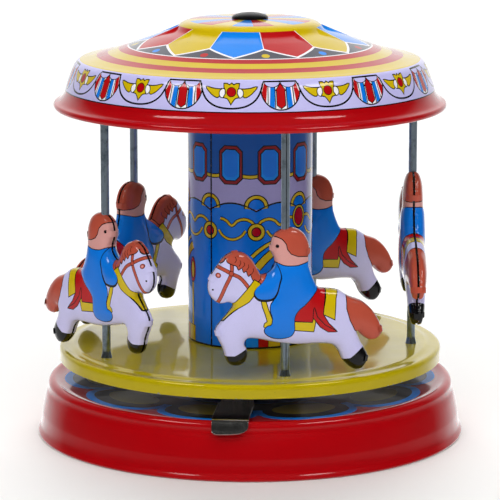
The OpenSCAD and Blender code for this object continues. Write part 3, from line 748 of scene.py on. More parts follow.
def columnArt():
    r = column["radius"]
    key = column["key"]
    scale = math.radians(1) * r
    z0 = column["low"]
    whole = 360 * scale

    def at(azimuth):
        return (azimuth - column["seam"]) * scale

    def put(layers, art, azimuth):
        # the whole sheet is one turn, so a shape near the seam is cut there and goes on at the other side
        for turnOver in (-whole, 0, whole):
            x = at(azimuth) + turnOver
            if -16 < x < whole + 16:
                for ink, outline in art:
                    layers.append((ink, [(x + px, z - z0) for px, z in outline]))

    def waveLine(shape, spacing, first):
        # one station's curve repeated round the column as a single line
        count = round(360 / spacing)
        line = []
        for k in range(-1, count + 1):
            x = at(first + spacing * k)
            line += [(x + px * scale, z) for px, z in shape]
        return np.array(line)

    def fill(ink, line, level):
        return ink, [(x, z - z0) for x, z in line] + [(line[-1][0], level - z0), (line[0][0], level - z0)]

    def follow(ink, line, width):
        return ink, [(x, z - z0) for x, z in stroke(line, width)]

    layers = []
    # lavender field between the wave and the scallop line, deep blue above it
    wave = waveLine([(-22.5, 89.7), (-19, 89.6), (-15, 89.3), (-11, 88.8), (-7, 88.1), (-3.5, 87.4),
                     (0, 86.7), (3.5, 87.4), (7, 88.1),
                     (11, 88.8), (15, 89.3), (19, 89.6)], 45, column["firstStation"])
    layers.append(fill("black ink", [(x, z - key) for x, z in wave], 127))
    layers.append(fill("column lavender", wave, 127))
    scallop = waveLine([(-18, 101.5), (-14, 100.7), (-9, 99.8), (-4, 99.4), (0, 99.3), (4, 99.4),
                        (9, 99.8), (14, 100.7)], 36, 0)
    layers.append(fill("deep blue ink", scallop, 127))
    layers.append(follow("black ink", scallop, 1.7))
    layers.append(follow("gold ink", scallop, 1.0))
    window = []

    def octagon(halfWide, low, high, cut):
        return [(-halfWide, low + cut), (-halfWide + cut, low), (halfWide - cut, low),
                (halfWide, low + cut),
                (halfWide, high - cut), (halfWide - cut, high), (-halfWide + cut, high),
                (-halfWide, high - cut)]

    window += outlined("dark red ink", dense(octagon(4.2, 96.8, 110.5, 1.9), 1.2), key)
    window += outlined("blue ink", dense(octagon(3.2, 98.1, 109.2, 1.5), 1.2), key)
    window.append(("column blue", dense(octagon(2.6, 99.2, 109.2, 1.3), 1.2)))
    for k in range(column["windows"]):
        put(layers, window, column["firstWindow"] + 36 * k)
    # gold arches over each station
    def halfDisc(radius):
        return [(radius * math.cos(a), 88.2 + radius * math.sin(a))
                for a in np.linspace(-0.12, math.pi + 0.12, 20)] + [(0, 87.2)]

    arch = [("black ink", halfDisc(4.65)), ("gold ink", halfDisc(4.2)), ("black ink", halfDisc(3.2)),
            ("column blue", halfDisc(2.8))]
    for k in range(column["stations"]):
        put(layers, arch, column["firstStation"] + 45 * k)
    layers.append(follow("black ink", wave, key))
    # the gold drape and what hangs from it
    drape = waveLine([(-11.25, 83.7), (-8, 83.5), (-4.5, 82.8), (-1.8, 81.6), (0, 81.2), (1.8, 81.6),
                      (4.5, 82.8), (8, 83.5)],
                     22.5, column["firstStation"])
    layers.append(follow("black ink", drape, 1.45))
    layers.append(follow("gold ink", drape, 0.8))
    rosette = outlined("gold ink", disc(0, 78.9, 3.0, 3.0, 26), key) + outlined("red ink",
        disc(0, 78.9, 1.5, 1.5, 18), key)
    oval = outlined("gold ink", disc(0, 83.5, 3.2, 4.1, 28), key) + outlined("red ink",
        disc(0, 83.5, 2.2, 3.1, 24), key)
    smile = smooth([(-5.2, 79.4), (-3.6, 77.4), (-1.2, 76.2), (1.2, 76.2), (3.6, 77.4), (5.2, 79.4)],
                   step=0.6)
    smileArt = [("black ink", stroke(smile, 1.3)), ("gold ink", stroke(smile, 0.7))]
    for k in range(column["stations"]):
        put(layers, oval if k in (1, 5) else rosette, column["firstStation"] + 45 * k)
        put(layers, smileArt, column["firstStation"] - 22.5 + 45 * k)
    # gold ribbons that rise across the lower field
    for k in range(4):
        for z, first, rise, wide in ((69.7, 1.5, 5.0, 1.1), (65.6, 6.4, 6.2, 2.5)):
            ribbon = smooth([(0, z), (2.6, z + rise * 0.45), (5.2, z + rise * 0.8), (7.4, z + rise)],
                            step=0.8)
            put(layers, [("black ink", stroke(ribbon, wide + 0.8)), ("gold ink", stroke(ribbon, wide))],
                first + 90 * k)
    lamp = [("black ink", stroke([(0, 35), (0, 45), (0, 58)], 1.8)),
            ("gold ink", stroke([(0, 35), (0, 45), (0, 58)], 1.2))]
    lamp += outlined("red ink", disc(0, 62.5, 1.9, 4.5, 26), key) + outlined("gold ink",
        disc(0, 62.5, 1.1, 3.0, 22), key)
    for azimuth in (-66, 24, 114, 204):
        put(layers, lamp, azimuth)
    for k in range(4):
        for x0, x1, ink in ((-3.8, 7.8, "blue ink"), (7.8, 16.7, "red ink"), (17, 28.5, "gold ink")):
            low, high = x0 * scale, x1 * scale
            block = [(low, 35.3), (high, 35.3), (high, 41.5), (low, 41.5)]
            put(layers, outlined(ink, dense(block, 1.2), 0.25), 90 * k)
    foot = [(x, z) for z, xs in ((0.0, np.arange(-1, whole + 2, 0.8)),
                                 (0.7, np.arange(-1, whole + 2, 0.8)[::-1])) for x in xs]
    layers.append(("black ink", foot))
    for x in (0.0, whole):
        layers.append(("black ink", [(x - 0.35, -0.1), (x + 0.35, -0.1), (x + 0.35, 92), (x - 0.35, 92)]))
    return layers


columnHeight = np.linspace(column["low"], column["high"], 200)
steady = np.ones(200)
rows = np.arange(0, column["high"] - column["low"], 2.6)
path = {"along": columnHeight - column["low"], "r": steady * column["radius"], "z": columnHeight,
        "nr": steady, "nz": 0 * steady,
        "rows": np.append(rows, column["high"] - column["low"]), "length": column["high"] - column["low"]}
seamGap = math.radians(column["gap"])
columnPiece = build("column_print", sheet(path, 0.35, "column blue", "tinplate", column["radius"],
                                          columnArt(), 180,
                                          math.radians(column["seam"]) + seamGap / 2, 2 * math.pi
                                          - seamGap))
lap = {**path, "r": steady * (column["radius"] - 0.38)}
lapPiece = build("column_lap", [plainGrid(lap, 10, path["rows"], "column blue", 0, 1.0,
                                          math.radians(column["seam"] - 4), math.radians(8))])
for piece in (columnPiece, lapPiece):
    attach(piece, "carousel")
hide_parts("column")
print("column made", len(columnPiece.data.polygons))


# ---------- horses and riders: two pressed halves of one printed outline
figure = {
    "outline": [(-1.4, 87.8), (2, 87), (4.2, 85.4), (5.3, 82.6), (5.3, 79.6), (4.2, 77), (4, 74.6),
                (6.2, 71.9), (9, 71.4), (10.2, 73.4),
                (12.4, 77), (15.4, 79.4), (19, 79.7), (22, 78.2), (24, 75.8), (26.2, 72.6), (27.6, 70),
                (28, 67.8), (27.6, 65.2),
                (25.8, 62.7), (23.4, 61.4), (20.8, 61.8), (19, 60.8), (21.2, 57.4), (24.2, 54),
                (25.2, 52), (24.5, 48.8), (22.8, 45.4),
                (21.8, 41.8), (20.5, 39.5), (18, 38.6), (15.4, 39.4), (13.9, 42), (14, 44.4), (15, 46.6),
                (14, 48.3), (10, 48.1),
                (5.8, 47.1), (0, 46), (-4.5, 45.5), (-12.6, 45.5), (-17, 44.8), (-19, 42.8),
                (-20.6, 39.5), (-22.3, 37.4),
                (-24.8, 35.6), (-27.3, 35.5), (-29.4, 37.6), (-30, 40.4), (-28.8, 43), (-27.2, 45.8),
                (-26, 49.4), (-28, 47.6),
                (-30.6, 46), (-33.4, 46.4), (-35.2, 48.8), (-33.9, 53.2), (-31.4, 57), (-27.8, 60.2),
                (-23, 62.2), (-19, 64.6),
                (-15.3, 65.3), (-11.8, 66), (-10, 69.2), (-8.5, 73.6), (-8.2, 76.6), (-8.6, 79.7),
                (-7.9, 83), (-6.2, 85.8), (-3.8, 87.4)],
    "depth": 4.9,
    "edgeRoll": 4.5,
    "seamGap": 0.8,
    "facings": (191.9, 90.9, 204.9, 47.9, 310.9),
    "keyLine": 0.32,
    "tabs": [(27, 71, "horse ink"), (18.5, 79.8, "mane ink"), (25, 51, "horse ink"),
             (-35, 50, "mane ink"), (-30, 39.5, "black ink"),
             (-8.6, 79, "mane ink"), (5.3, 81, "skin ink")],
    "mane": [(23.9, 76.2), (23.6, 78.6), (22.4, 80.6), (18, 81.5), (13.6, 79.4), (11, 76.5), (9.4, 73.4),
             (9.6, 70.6), (10.4, 69.6),
             (11.4, 69.5), (12.4, 70.1), (13.4, 72.2), (14, 71.6), (14.9, 73.5), (15.7, 73), (16.4, 74.6),
             (17.6, 74), (18.2, 75.2), (20, 75.9),
             (21.3, 76.6), (21.8, 77.9), (22.6, 77)],
    "lock": [(10.2, 72.6), (8.3, 72.0), (6.0, 73.4), (5.2, 71), (7.6, 68.9), (9.5, 68.5), (10.8, 69.6)],
    "collar": [(11.9, 69.9), (9.8, 68.5), (11.4, 66.7), (12.0, 64.8), (13.9, 62.4), (17.8, 60.0),
               (20.6, 57.6), (22.7, 55.6), (25.9, 54.4),
               (24.2, 56.8), (22.0, 59.2), (19.3, 61.3), (17.6, 63.2), (14.7, 66.5)],
    "rein": [(9.6, 62.9), (8.1, 62.6), (7.2, 59.5), (5.7, 55.6), (5.9, 53.8), (7.5, 52.5), (8.5, 53.1),
             (8.3, 54.1), (7.3, 54.9),
             (8.0, 57.5), (9.0, 60.1)],
    "suit": [(4.9, 75.5), (0.8, 74.5), (-3.3, 74.4), (-9.2, 75.2), (-9.8, 72.2), (-10.9, 69.1),
             (-11.4, 66.8), (-9.0, 63.4), (-6.2, 60.4),
             (-3.9, 58.5), (-2.6, 56.5), (-2.3, 53.9), (-2.4, 51.3), (-1.3, 49.3), (2.3, 48.4),
             (5.9, 49.1), (8.0, 50.8), (8.2, 52.1),
             (7.2, 53.1), (5.9, 53.5), (5.4, 55.8), (6.2, 58.9), (6.0, 61.0), (4.9, 62.7), (3.9, 65.0),
             (5, 70)],
    "arm": [(4.4, 76.0), (5.9, 72.9), (8.9, 69.0), (11.3, 66.9), (11.9, 65.2), (10.6, 63.4), (7.6, 62.9),
            (5.2, 63.5), (3.9, 65.6),
            (3.2, 68.4), (2.5, 71.4)],
    "face": [(7.4, 84.9), (3.7, 84.7), (1.9, 83.9), (0.6, 82.3), (0.1, 80.2), (-1.2, 78.6), (-3.8, 77.6),
             (-9.8, 77.2), (-9.6, 75.1),
             (-3.3, 74.4), (0.8, 74.5), (4.6, 75.5), (7.6, 77.2)],
    "blanket": [(-10.7, 67.6), (-14.1, 66.6), (-13.1, 60.2), (-12.8, 56.6), (-14.8, 53.3), (-17.9, 50.2),
                (-14.8, 50.5), (-12.2, 52.4),
                (-9.3, 55.9), (-8.8, 54.1), (-2.4, 54.7), (-2.4, 56.5), (-6.0, 60.4), (-8.6, 63.4)],
    "saddle": [(-14.6, 66.6), (-18.9, 66.2), (-17.5, 62.0), (-17.0, 54.7), (-12.9, 56.8), (-13.8, 61.2)],
    "border": [(-2.3, 54.3), (-8.8, 53.8), (-9.3, 55.9), (-10.0, 54.1), (-9.4, 50.6), (-2.5, 51.4)],
    "ribbon": [(-9.6, 59.2), (-10.6, 55.8), (-13.6, 52.6), (-17.9, 50.2), (-14.8, 50.3), (-11.9, 52.2),
               (-9.3, 55.7)],
    "tail": [(-22.2, 64.5), (-21.8, 62.2), (-21.7, 58.2), (-22.9, 54.0), (-24.8, 50.3), (-26.6, 48.9),
             (-29, 44.4), (-38, 44.4),
             (-38, 60), (-27, 64)],
    "frontHoof": [(24.4, 42.9), (22.4, 42.6), (18.8, 42.6), (15.0, 44.6), (12, 45.4), (12, 36.5),
                  (24.4, 36.5)],
    "rearHoof": [(-17.6, 39.3), (-20.1, 39.5), (-23.2, 40.0), (-26.9, 43.2), (-29.6, 44.6), (-33, 42),
                 (-31, 33), (-18, 33)],
}


def figureArt():
    key = figure["keyLine"]
    layers = []

    def add(ink, points, line=key):
        layers.extend(outlined(ink, smooth(points, True, 0.5), line))

    def strap(points, width=1.0):
        line = smooth(points, step=0.5)
        layers.append(("black ink", stroke(line, width + 2 * 0.2)))
        return "mane ink", stroke(line, width)

    add("mane ink", figure["lock"])
    tops = [strap([(25.9, 75.5), (23.1, 74.2), (20.2, 72.6)]),
            strap([(19.9, 76.0), (20.2, 72.6), (22.4, 67.8), (24.7, 62.0)]),
            strap([(20.2, 72.6), (17.0, 70.9), (13.8, 67.0)])]
    layers.extend(tops)
    add("mane ink", disc(20.2, 72.6, 0.75), 0.2)
    add("mane ink", figure["mane"])
    for low, high in (((18.9, 76.3), (18.6, 78.3)), ((17.5, 75.0), (17.0, 77.2)),
                      ((16.2, 74.6), (15.6, 76.4)), ((14.8, 73.6), (14.0, 75.5)),
                      ((13.2, 71.9), (12.2, 74.0))):
        curl = smooth([low, ((low[0] + high[0]) / 2 - 0.5, (low[1] + high[1]) / 2), high], step=0.4)
        layers.append(("black ink", stroke(curl, 0.22)))
    add("mane ink", disc(24.7, 72.0, 0.72), 0.2)
    add("skin ink", disc(24.7, 72.0, 0.4), 0.0)
    layers.append(("black ink", disc(26.6, 66.9, 0.34)))
    for name, ink in (("saddle", "horse yellow"), ("border", "horse yellow"), ("blanket", "horse red"),
                      ("ribbon", "horse red"),
                      ("collar", "horse yellow"), ("rein", "horse yellow"), ("tail", "mane ink")):
        points = dense(figure[name], 0.5)
        layers.extend(outlined(ink, points, key))
    for name in ("frontHoof", "rearHoof"):
        layers.append(("black ink", dense(figure[name], 0.6)))
    hair = [(9, 90), (-12, 90), (-12, 76.9), (-3.8, 77.2), (9, 84)]
    layers.append(("mane ink", dense(hair, 0.8)))
    layers.extend(outlined("skin ink", dense(figure["face"], 0.5), key))
    layers.append(("black ink", disc(3.5, 81.6, 0.62)))
    add("horse blue", figure["suit"])
    armLine = smooth(figure["arm"], True, 0.5)
    # the arm's black key line is moved down so it shows only below the arm: printed outline and painted
    # shade under the raised arm
    layers.append(("black ink", grown(moved(armLine, 0.0, -0.45), 0.42)))
    layers.append(("horse blue", armLine))
    return layers


def pillow(outline, roll, cell=0.4):
    # a rounded swelling that is 0 on the outline and levels off to 1 inside it, on a fine grid
    low = np.min(figure["outline"], 0) - 3
    high = np.max(figure["outline"], 0) + 3
    xs = np.arange(low[0], high[0], cell)
    zs = np.arange(low[1], high[1], cell)
    gx, gz = np.meshgrid(xs, zs)
    inside = np.zeros(gx.shape, bool)
    p = np.array(outline)
    for (x0, z0), (x1, z1) in zip(p, np.roll(p, -1, 0)):
        crosses = (z0 > gz) != (z1 > gz)
        inside ^= crosses & (gx < (x1 - x0) * (gz - z0) / (z1 - z0 + 1e-12) + x0)
    value = np.zeros(gx.shape)
    k = (cell / roll) ** 2
    for _ in range(500):
        around = np.zeros(gx.shape)
        around[1:-1, 1:-1] = value[:-2, 1:-1] + value[2:, 1:-1] + value[1:-1, :-2] + value[1:-1, 2:]
        value = np.where(inside, (around + k) / (4 + k), 0.0)
    return xs, zs, value


def sampled(xs, zs, grid, x, z):
    fx = np.clip((x - xs[0]) / (xs[1] - xs[0]), 0, len(xs) - 1.001)
    fz = np.clip((z - zs[0]) / (zs[1] - zs[0]), 0, len(zs) - 1.001)
    i, j = fx.astype(int), fz.astype(int)
    u, v = fx - i, fz - j
    return (grid[j, i] * (1 - u) * (1 - v) + grid[j, i + 1] * u * (1 - v) + grid[j + 1, i] * (1 - u) * v
            + grid[j + 1, i + 1] * u * v)


def distanceTo(outline, x, z):
    p = np.array(outline)
    q = np.roll(p, -1, 0)
    best = np.full(len(x), 1e9)
    at = np.stack([x, z], 1)
    for a, b in zip(p, q):
        d = b - a
        t = np.clip((at - a) @ d / max(d @ d, 1e-9), 0, 1)
        best = np.minimum(best, np.linalg.norm(at - a - t[:, None] * d, axis=1))
    return best


def figureHalf(name, side):
    outline = smooth(figure["outline"], True, 0.7)
    xs, zs, edge = pillow(outline, roll=figure["edgeRoll"])
    _, _, rider = pillow(smooth(figure["suit"], True, 0.7), roll=1.3)
    _, _, arm = pillow(smooth(figure["arm"], True, 0.7), roll=1.0)
    height = figure["depth"] * np.clip(edge, 0, 1) ** 0.5 + (0.5 * rider + 0.6 * arm) * np.clip(edge * 2,
        0, 1)
    dz, dx = np.gradient(height, zs[1] - zs[0])
    layers = [("horse ink", None)] + figureArt()
    points = [Vector(q) for q in leftward(outline)]
    faces = [list(range(len(points)))]
    names = ["horse ink"]
    for ink, shape in layers[1:]:
        start = len(points)
        points += [Vector(q) for q in leftward(shape)]
        faces.append(list(range(start, len(points))))
        names.append(ink)
    # extra points: close rows along the edge, then an even grid
    p = np.array(outline)
    after = np.roll(p, -1, 0) - np.roll(p, 1, 0)
    inward = np.stack([after[:, 1], -after[:, 0]], 1) / np.linalg.norm(after, axis=1)[:, None]
    kept = []
    for d in (0.06, 0.18, 0.4, 0.75, 1.25, 1.9):
        ring = p + inward * d
        near = distanceTo(outline, ring[:, 0], ring[:, 1])
        kept.append(ring[near > 0.93 * d])
    gx, gz = np.meshgrid(np.arange(-36, 29, 0.9), np.arange(35, 89, 0.9))
    grid = np.stack([gx.ravel(), gz.ravel()], 1)
    swell = sampled(xs, zs, edge, grid[:, 0], grid[:, 1])
    kept.append(grid[(swell > 0.02) & (distanceTo(outline, grid[:, 0], grid[:, 1]) > 2.3)])
    points += [Vector(q) for q in np.concatenate(kept).tolist()]
    flat, _, triangles, _, _, origin = geometry.delaunay_2d_cdt(points, [], faces, 1, 1e-5, True)
    flat = np.array([tuple(v) for v in flat])
    cut = [(t, names[max(o)]) for t, o in zip(triangles, origin) if 0 in o]
    away = distanceTo(outline, flat[:, 0], flat[:, 1])
    h = sampled(xs, zs, height, flat[:, 0], flat[:, 1])
    # the grid is too coarse for the last half millimetre, so the wall follows the true distance there
    wall = 0.9 * figure["depth"] * (1 - np.exp(-away / figure["edgeRoll"])) ** 0.5
    share = np.clip((away - 0.35) / 0.9, 0, 1)
    h = wall * (1 - share) + h * share
    hx = sampled(xs, zs, dx, flat[:, 0], flat[:, 1])
    hz = sampled(xs, zs, dz, flat[:, 0], flat[:, 1])
    steep = 1 + 3 * (1 - np.clip(away / 0.5, 0, 1))
    normals = np.stack([-hx * steep, np.full(len(h), float(side)), -hz * steep], 1)
    normals /= np.linalg.norm(normals, axis=1)[:, None]
    gap = figure["seamGap"] / 2
    body = np.stack([flat[:, 0], side * (gap + h), flat[:, 1]], 1)
    faces = [tuple(t)[::-1] if side > 0 else tuple(t) for t, _ in cut]
    worn = np.clip(1 - away / 0.2, 0, 1)
    parts = [(body, normals, faces, [i for _, i in cut], worn)]
    # the sheet's cut edge, then a black-inked wall in the gap between the two halves: painted shade standing
    # in for the shaded hollow seen through the seam
    lipInner = p + inward * 0.4
    wellRing = p + inward * 0.45
    well = np.concatenate([np.stack([wellRing[:, 0], np.full(len(p), side * gap), wellRing[:, 1]], 1),
                           np.stack([wellRing[:, 0], np.zeros(len(p)), wellRing[:, 1]], 1)])
    outward = np.stack([-inward[:, 0], np.zeros(len(p)), -inward[:, 1]], 1)
    wellFaces = [(i, (i + 1) % len(p), len(p) + (i + 1) % len(p), len(p) + i) for i in range(len(p))]
    wellFaces = wellFaces if side < 0 else [f[::-1] for f in wellFaces]
    parts.append((well, np.tile(outward, (2, 1)), wellFaces, ["black ink"] * len(p),
                  np.zeros(2 * len(p))))
    lip = np.concatenate([np.stack([p[:, 0], np.full(len(p), side * gap), p[:, 1]], 1),
                          np.stack([lipInner[:, 0], np.full(len(p), side * gap), lipInner[:, 1]], 1)])
    n = len(p)
    lipFaces = [(i, (i + 1) % n, n + (i + 1) % n, n + i) for i in range(n)]
    lipFaces = lipFaces if side > 0 else [f[::-1] for f in lipFaces]
    parts.append((lip, np.tile((0.0, -float(side), 0.0), (2 * n, 1)), lipFaces, ["tinplate"] * n,
                  np.ones(2 * n)))
    return parts


def foldTabs():
    # the little tongues of the left half that are bent over the seam to hold the right half
    outline = np.array(smooth(figure["outline"], True, 0.7))
    parts = []
    for x, z, ink in figure["tabs"]:
        at = int(np.argmin(np.hypot(outline[:, 0] - x, outline[:, 1] - z)))
        run = outline[(at + 1) % len(outline)] - outline[at - 1]
        run = run / np.linalg.norm(run)
        out = np.array([-run[1], run[0]])
        bend = np.array(smooth([(-2.75, -1.3), (-2.1, -0.6), (-1.5, -0.05), (0, 0.4), (1.5, -0.05),
                                (2.1, -0.6), (2.75, -1.3)], step=0.3))
        lean = np.gradient(bend, axis=0)
        points, normals = [], []
        for across in (-1.1, -0.9, 0.9, 1.1):
            drop = -0.25 if abs(across) > 1 else 0.0
            for (y, lift), (dy, dl) in zip(bend, lean):
                spot = outline[at] + run * across + out * (lift + drop)
                points.append((spot[0], y, spot[1]))
                tilt = np.array([out[0] * dy, -dl, out[1] * dy]) + (np.array([run[0], 0,
                    run[1]]) * across * 0.3 if drop else 0)
                normals.append(tilt / np.linalg.norm(tilt))
        n = len(bend)
        faces = [(r * n + i, r * n + i + 1, (r + 1) * n + i + 1, (r + 1) * n + i) for r in range(3)
                 for i in range(n - 1)]
        a, b, c = (np.array(points[i]) for i in faces[n + 2][:3])
        if np.cross(b - a, c - a) @ normals[faces[n + 2][0]] < 0:
            faces = [f[::-1] for f in faces]
        parts.append((np.array(points), np.array(normals), faces, [ink] * len(faces),
                      np.zeros(len(points))))
    return parts


halves = {"left": figureHalf("left", 1) + foldTabs(), "right": figureHalf("right", -1)}
shared = {}
for i, facing in enumerate(figure["facings"], 1):
    poleLow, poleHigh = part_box(f"pole_{i}")
    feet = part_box(f"horse_{i}_left_half")[0].z / mm - min(z for _, z in figure["outline"])
    stand = ((poleLow.x + poleHigh.x) / 2 / mm, (poleLow.y + poleHigh.y) / 2 / mm, feet)
    for side, parts in halves.items():
        piece = build(f"horse_{i}_{side}_print", parts, stand, facing, shared.get(side))
        shared[side] = piece.data
        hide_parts(f"horse_{i}_{side}_half")
        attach(piece, f"horse_{i}")
print("horses made", len(shared["left"].polygons))


# ---------- stop lever: one bent strip with the pivot disc and the brake arm
lever = {
    "bend": [(-40, 22.1), (0, 22.1), (20, 22.1), (42, 22.1), (43.8, 21.6), (44.8, 20.3), (45.4, 18.9),
             (45.9, 17.9), (46.6, 17.3)],
    "halfWidth": 6.5,
    "neck": 4.5,
    "eye": 5.5,
    "thickness": 0.6,
    "turn": -5.2,
    "armTurn": 37.3,
    "armWidth": 5,
    "armReach": 30.2,
    "armGap": 2.65,
    "padThick": 0.8,
    "padWide": 8,
    "padLow": 21.6,
    "padHigh": 26.7,
}


def leverParts():
    path = profile(lever["bend"])
    along = path["along"] + lever["bend"][0][0]
    length = along[-1]
    w = lever["halfWidth"]
    tip = smooth([(w, length - 2.8), (w - 0.6, length - 1.7), (w - 2.2, length - 0.8),
                  (w - 5, length - 0.3), (-w + 3, length),
                  (-w + 1.2, length - 0.15), (-w + 0.2, length - 0.8), (-w, length - 1.8)], step=0.4)
    neck = lever["neck"]
    strip = [(neck, -1), (neck, 8), (w, 20), (w, length - 6)] + list(tip) + [(-w, 20), (-neck, 8),
        (-neck, -1)]
    c, s = math.cos(math.radians(lever["armTurn"])), math.sin(math.radians(lever["armTurn"]))
    gap, reach = lever["armGap"], lever["armReach"]
    far = gap + lever["armWidth"]
    arm = [(x * c - y * s, -(x * s + y * c)) for x, y in ((-far, 0), (-gap, 0), (-gap, reach),
        (-far, reach))]
    points, faces = [], []
    for shape in (strip, disc(0, 0, lever["eye"], steps=48), arm):
        ring = leftward(dense(shape, 0.8))
        faces.append(list(range(len(points), len(points) + len(ring))))
        points += [Vector(q) for q in ring]
    for row in np.arange(41.5, length - 0.3, 0.3):
        points += [Vector((u, row)) for u in np.arange(-w + 0.5, w - 0.3, 0.75) if row < length - 4
                   or abs(u) < w - 2.8]
    flat, _, triangles, _, _, origin = geometry.delaunay_2d_cdt(points, [], faces, 1, 1e-5, True)
    flat = np.array([tuple(v) for v in flat])
    reachAt = [np.interp(flat[:, 1], along, path[k]) for k in ("r", "z")]
    slope = [np.interp(flat[:, 1], along, np.gradient(path[k], along)) for k in ("r", "z")]
    up = np.stack([0 * slope[0], slope[1], slope[0]], 1)
    up /= np.linalg.norm(up, axis=1)[:, None]
    top = np.stack([flat[:, 0], -reachAt[0], reachAt[1]], 1)
    low = top - up * lever["thickness"]
    cuts = [tuple(t)[::-1] for t, o in zip(triangles, origin) if o]
    edges = {}
    for t in cuts:
        for a, b in zip(t, t[1:] + t[:1]):
            edges[(a, b)] = True
    rim = [(a, b) for a, b in edges if (b, a) not in edges]
    sides, sideNormals, sideFaces = [], [], []
    for a, b in rim:
        out = np.cross(top[b] - top[a], up[a])
        out /= max(np.linalg.norm(out), 1e-9)
        sideFaces.append(tuple(range(len(sides), len(sides) + 4)))
        sides += [top[a], low[a], low[b], top[b]]
        sideNormals += [out] * 4
    none = np.zeros(len(top))
    pad = []
    front, foot = gap + lever["padThick"], reach - lever["padWide"]
    for x, y in ((-front, foot), (-gap, foot), (-gap, reach), (-front, reach)):
        pad.append((x * c - y * s, x * s + y * c))
    padPoints = np.array([(x, y, z) for z in (lever["padLow"], lever["padHigh"]) for x, y in pad])
    padFaces, padCorners, padNormals = [], [], []
    for quad in ((0, 1, 5, 4), (1, 2, 6, 5), (2, 3, 7, 6), (3, 0, 4, 7), (4, 5, 6, 7)):
        corner = padPoints[list(quad)]
        face = np.cross(corner[1] - corner[0], corner[2] - corner[0])
        padFaces.append(tuple(range(len(padCorners), len(padCorners) + 4)))
        padCorners += list(corner)
        padNormals += [face / np.linalg.norm(face)] * 4
    return [(top, up, cuts, ["lever tin"] * len(cuts), none),
            (low, -up, [f[::-1] for f in cuts], ["lever tin"] * len(cuts), none),
            (np.array(sides), np.array(sideNormals), sideFaces, ["lever tin"] * len(sideFaces),
             np.zeros(len(sides))),
            (np.array(padCorners), np.array(padNormals), padFaces, ["lever tin"] * len(padFaces),
             np.zeros(len(padCorners)))]


rivetLow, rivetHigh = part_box("lever_rivet")
leverPiece = build("lever_strip", leverParts(), ((rivetLow.x + rivetHigh.x) / 2 / mm,
    (rivetLow.y + rivetHigh.y) / 2 / mm, 0), lever["turn"])
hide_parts("stop_lever")
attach(leverPiece, "lever")
print("lever made")


# ---------- carried-over CAD nodes
carried = {
    "pole tube": ["pole_1", "pole_2", "pole_3", "pole_4", "pole_5"],
    "zinc plate": ["lever_rivet", "finial_nut", "frame_screws", "winding_key"],
    "tinplate": ["base_plate", "canopy_ceiling", "brake_drum"],
    "black plastic": ["finial"],
    "brass": ["deck_bush", "drive_tube", "spring_barrel", "barrel_cap", "music_cylinder", "comb_screws",
              "cylinder_wheel", "governor_wheel"],
    "cast zinc": ["crown_wheel", "comb_anvil", "movement_frame", "governor_fan"],
    "steel": ["winding_arbor", "ratchet_wheel", "click", "comb", "cylinder_arbor", "cylinder_pinion",
              "governor_arbor", "fan_arbor"],
    "blued steel": ["mainspring"],
}
for ink, names in carried.items():
    for name in names:
        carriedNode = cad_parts[name]
        if not carriedNode.material_slots:
            carriedNode.data.materials.append(inks[ink])
        for slotOfNode in carriedNode.material_slots:
            slotOfNode.material = inks[ink]
print("carried-over nodes finished")


# ---------- floor, light and camera
studio = {
    "floorColour": "f3f2f0",
    "worldStrength": 1.0,
    "roomStrength": 0.03,
    "floorGlow": 0.42,
    "floorSize": 6.0,
    "sideLightPower": 3.0,
    "sideLightSize": (0.7, 0.26),
    "sideLightPlace": (0.78, -0.62, 1.1),
    "fillPower": 22.0,
    "fillSize": (2.4, 1.8),
    "fillPlace": (0.0, -1.7, 1.3),
    "topLightPower": 8.0,
    "backLightPower": 85.0,
    "cameraPlace": (0.0, -1.028, 0.2644),
    "cameraPitch": 10.82,
    "lens": 201.2,
}
floorMesh = bpy.data.meshes.new("floor")
reach = studio["floorSize"]
floorMesh.from_pydata([(-reach, -reach, 0), (reach, -reach, 0), (reach, reach, 0), (-reach, reach, 0)],
                      [], [(0, 1, 2, 3)])
floor = bpy.data.objects.new("floor", floorMesh)
bpy.context.scene.collection.objects.link(floor)
floorMaterial, tree = newMaterial("pale studio floor")
place = node(tree, "ShaderNodeTexCoord")
tone = node(tree, "ShaderNodeTexNoise", {"Vector": place.outputs["Object"], "Scale": perSize(60),
                                         "Detail": 3.0})
level = node(tree, "ShaderNodeMapRange", {"Value": tone.outputs["Fac"], "To Min": 0.98, "To Max": 1.01})
shade = node(tree, "ShaderNodeMix", {"Factor": 1.0, 6: linear(studio["floorColour"]),
                                     7: level.outputs[0]}, data_type="RGBA", blend_type="MULTIPLY")
shader = node(tree, "ShaderNodeBsdfPrincipled", {"Base Color": shade.outputs[2], "Roughness": 0.6,
    "Specular IOR Level": 0.25})
node(tree, "ShaderNodeOutputMaterial", {"Surface": shader.outputs[0]})
floorMesh.materials.append(floorMaterial)
floor.visible_glossy = False

world = bpy.data.worlds.new("soft white room")
bpy.context.scene.world = world
world.use_nodes = True
world.node_tree.nodes.clear()
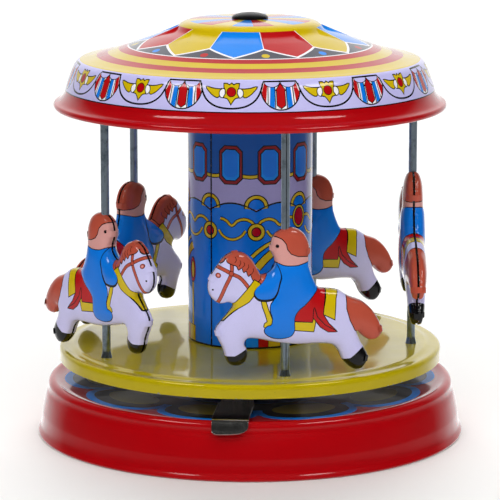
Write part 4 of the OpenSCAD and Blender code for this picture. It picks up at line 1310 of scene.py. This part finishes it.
# a white backdrop behind the object and a dimmer room on the camera's side, which keeps the inks deep
heading = node(world.node_tree, "ShaderNodeTexCoord")
split = node(world.node_tree, "ShaderNodeSeparateXYZ", {0: heading.outputs["Generated"]})
dim = node(world.node_tree, "ShaderNodeMapRange", {"Value": split.outputs[1], "From Min": 0.5,
    "From Max": 0.97,
                                                   "To Min": studio["roomStrength"],
                                                   "To Max": studio["worldStrength"]})
low = node(world.node_tree, "ShaderNodeMapRange", {"Value": split.outputs[2], "From Min": -0.05,
    "From Max": -0.3,
                                                   "To Min": 0.0, "To Max": studio["floorGlow"]})
both = node(world.node_tree, "ShaderNodeMath", {0: dim.outputs[0], 1: low.outputs[0]}, operation="ADD")
seen = node(world.node_tree, "ShaderNodeLightPath")
level = node(world.node_tree, "ShaderNodeMix", {0: seen.outputs["Is Camera Ray"], 2: both.outputs[0],
    3: 1.0})
sky = node(world.node_tree, "ShaderNodeBackground", {"Color": (1.0, 1.0, 1.0, 1.0),
    "Strength": level.outputs[0]})
node(world.node_tree, "ShaderNodeOutputWorld", {"Surface": sky.outputs[0]})


def softbox(name, place, aim, size, power, shown=True):
    light = bpy.data.lights.new(name, "AREA")
    light.shape = "ELLIPSE"
    light.size, light.size_y = size
    light.energy = power
    lamp = bpy.data.objects.new(name, light)
    bpy.context.scene.collection.objects.link(lamp)
    lamp.location = place
    lamp.rotation_euler = (Vector(aim) - Vector(place)).to_track_quat("-Z", "Y").to_euler()
    lamp.visible_glossy = shown
    return lamp


x, y, z = studio["sideLightPlace"]
softbox("left softbox", (-x, y, z), (0, 0, 0.08), studio["sideLightSize"], studio["sideLightPower"])
softbox("right softbox", (x, y, z), (0, 0, 0.08), studio["sideLightSize"], studio["sideLightPower"])
softbox("front fill", studio["fillPlace"], (0, 0, 0.08), studio["fillSize"], studio["fillPower"], False)
softbox("top fill", (0, -0.1, 1.6), (0, 0, 0), (1.6, 1.6), studio["topLightPower"], False)
softbox("back fill", (0, 2.2, 2.2), (0, 2.0, 0), (3.0, 3.0), studio["backLightPower"], False)

camera = bpy.data.cameras.new("camera")
camera.lens = studio["lens"]
camera.sensor_width = 36
cameraObject = bpy.data.objects.new("camera", camera)
bpy.context.scene.collection.objects.link(cameraObject)
cameraObject.location = studio["cameraPlace"]
cameraObject.rotation_euler = (math.radians(90 - studio["cameraPitch"]), 0, 0)
bpy.context.scene.camera = cameraObject
bpy.context.scene.view_settings.view_transform = "Standard"
print("stage set")
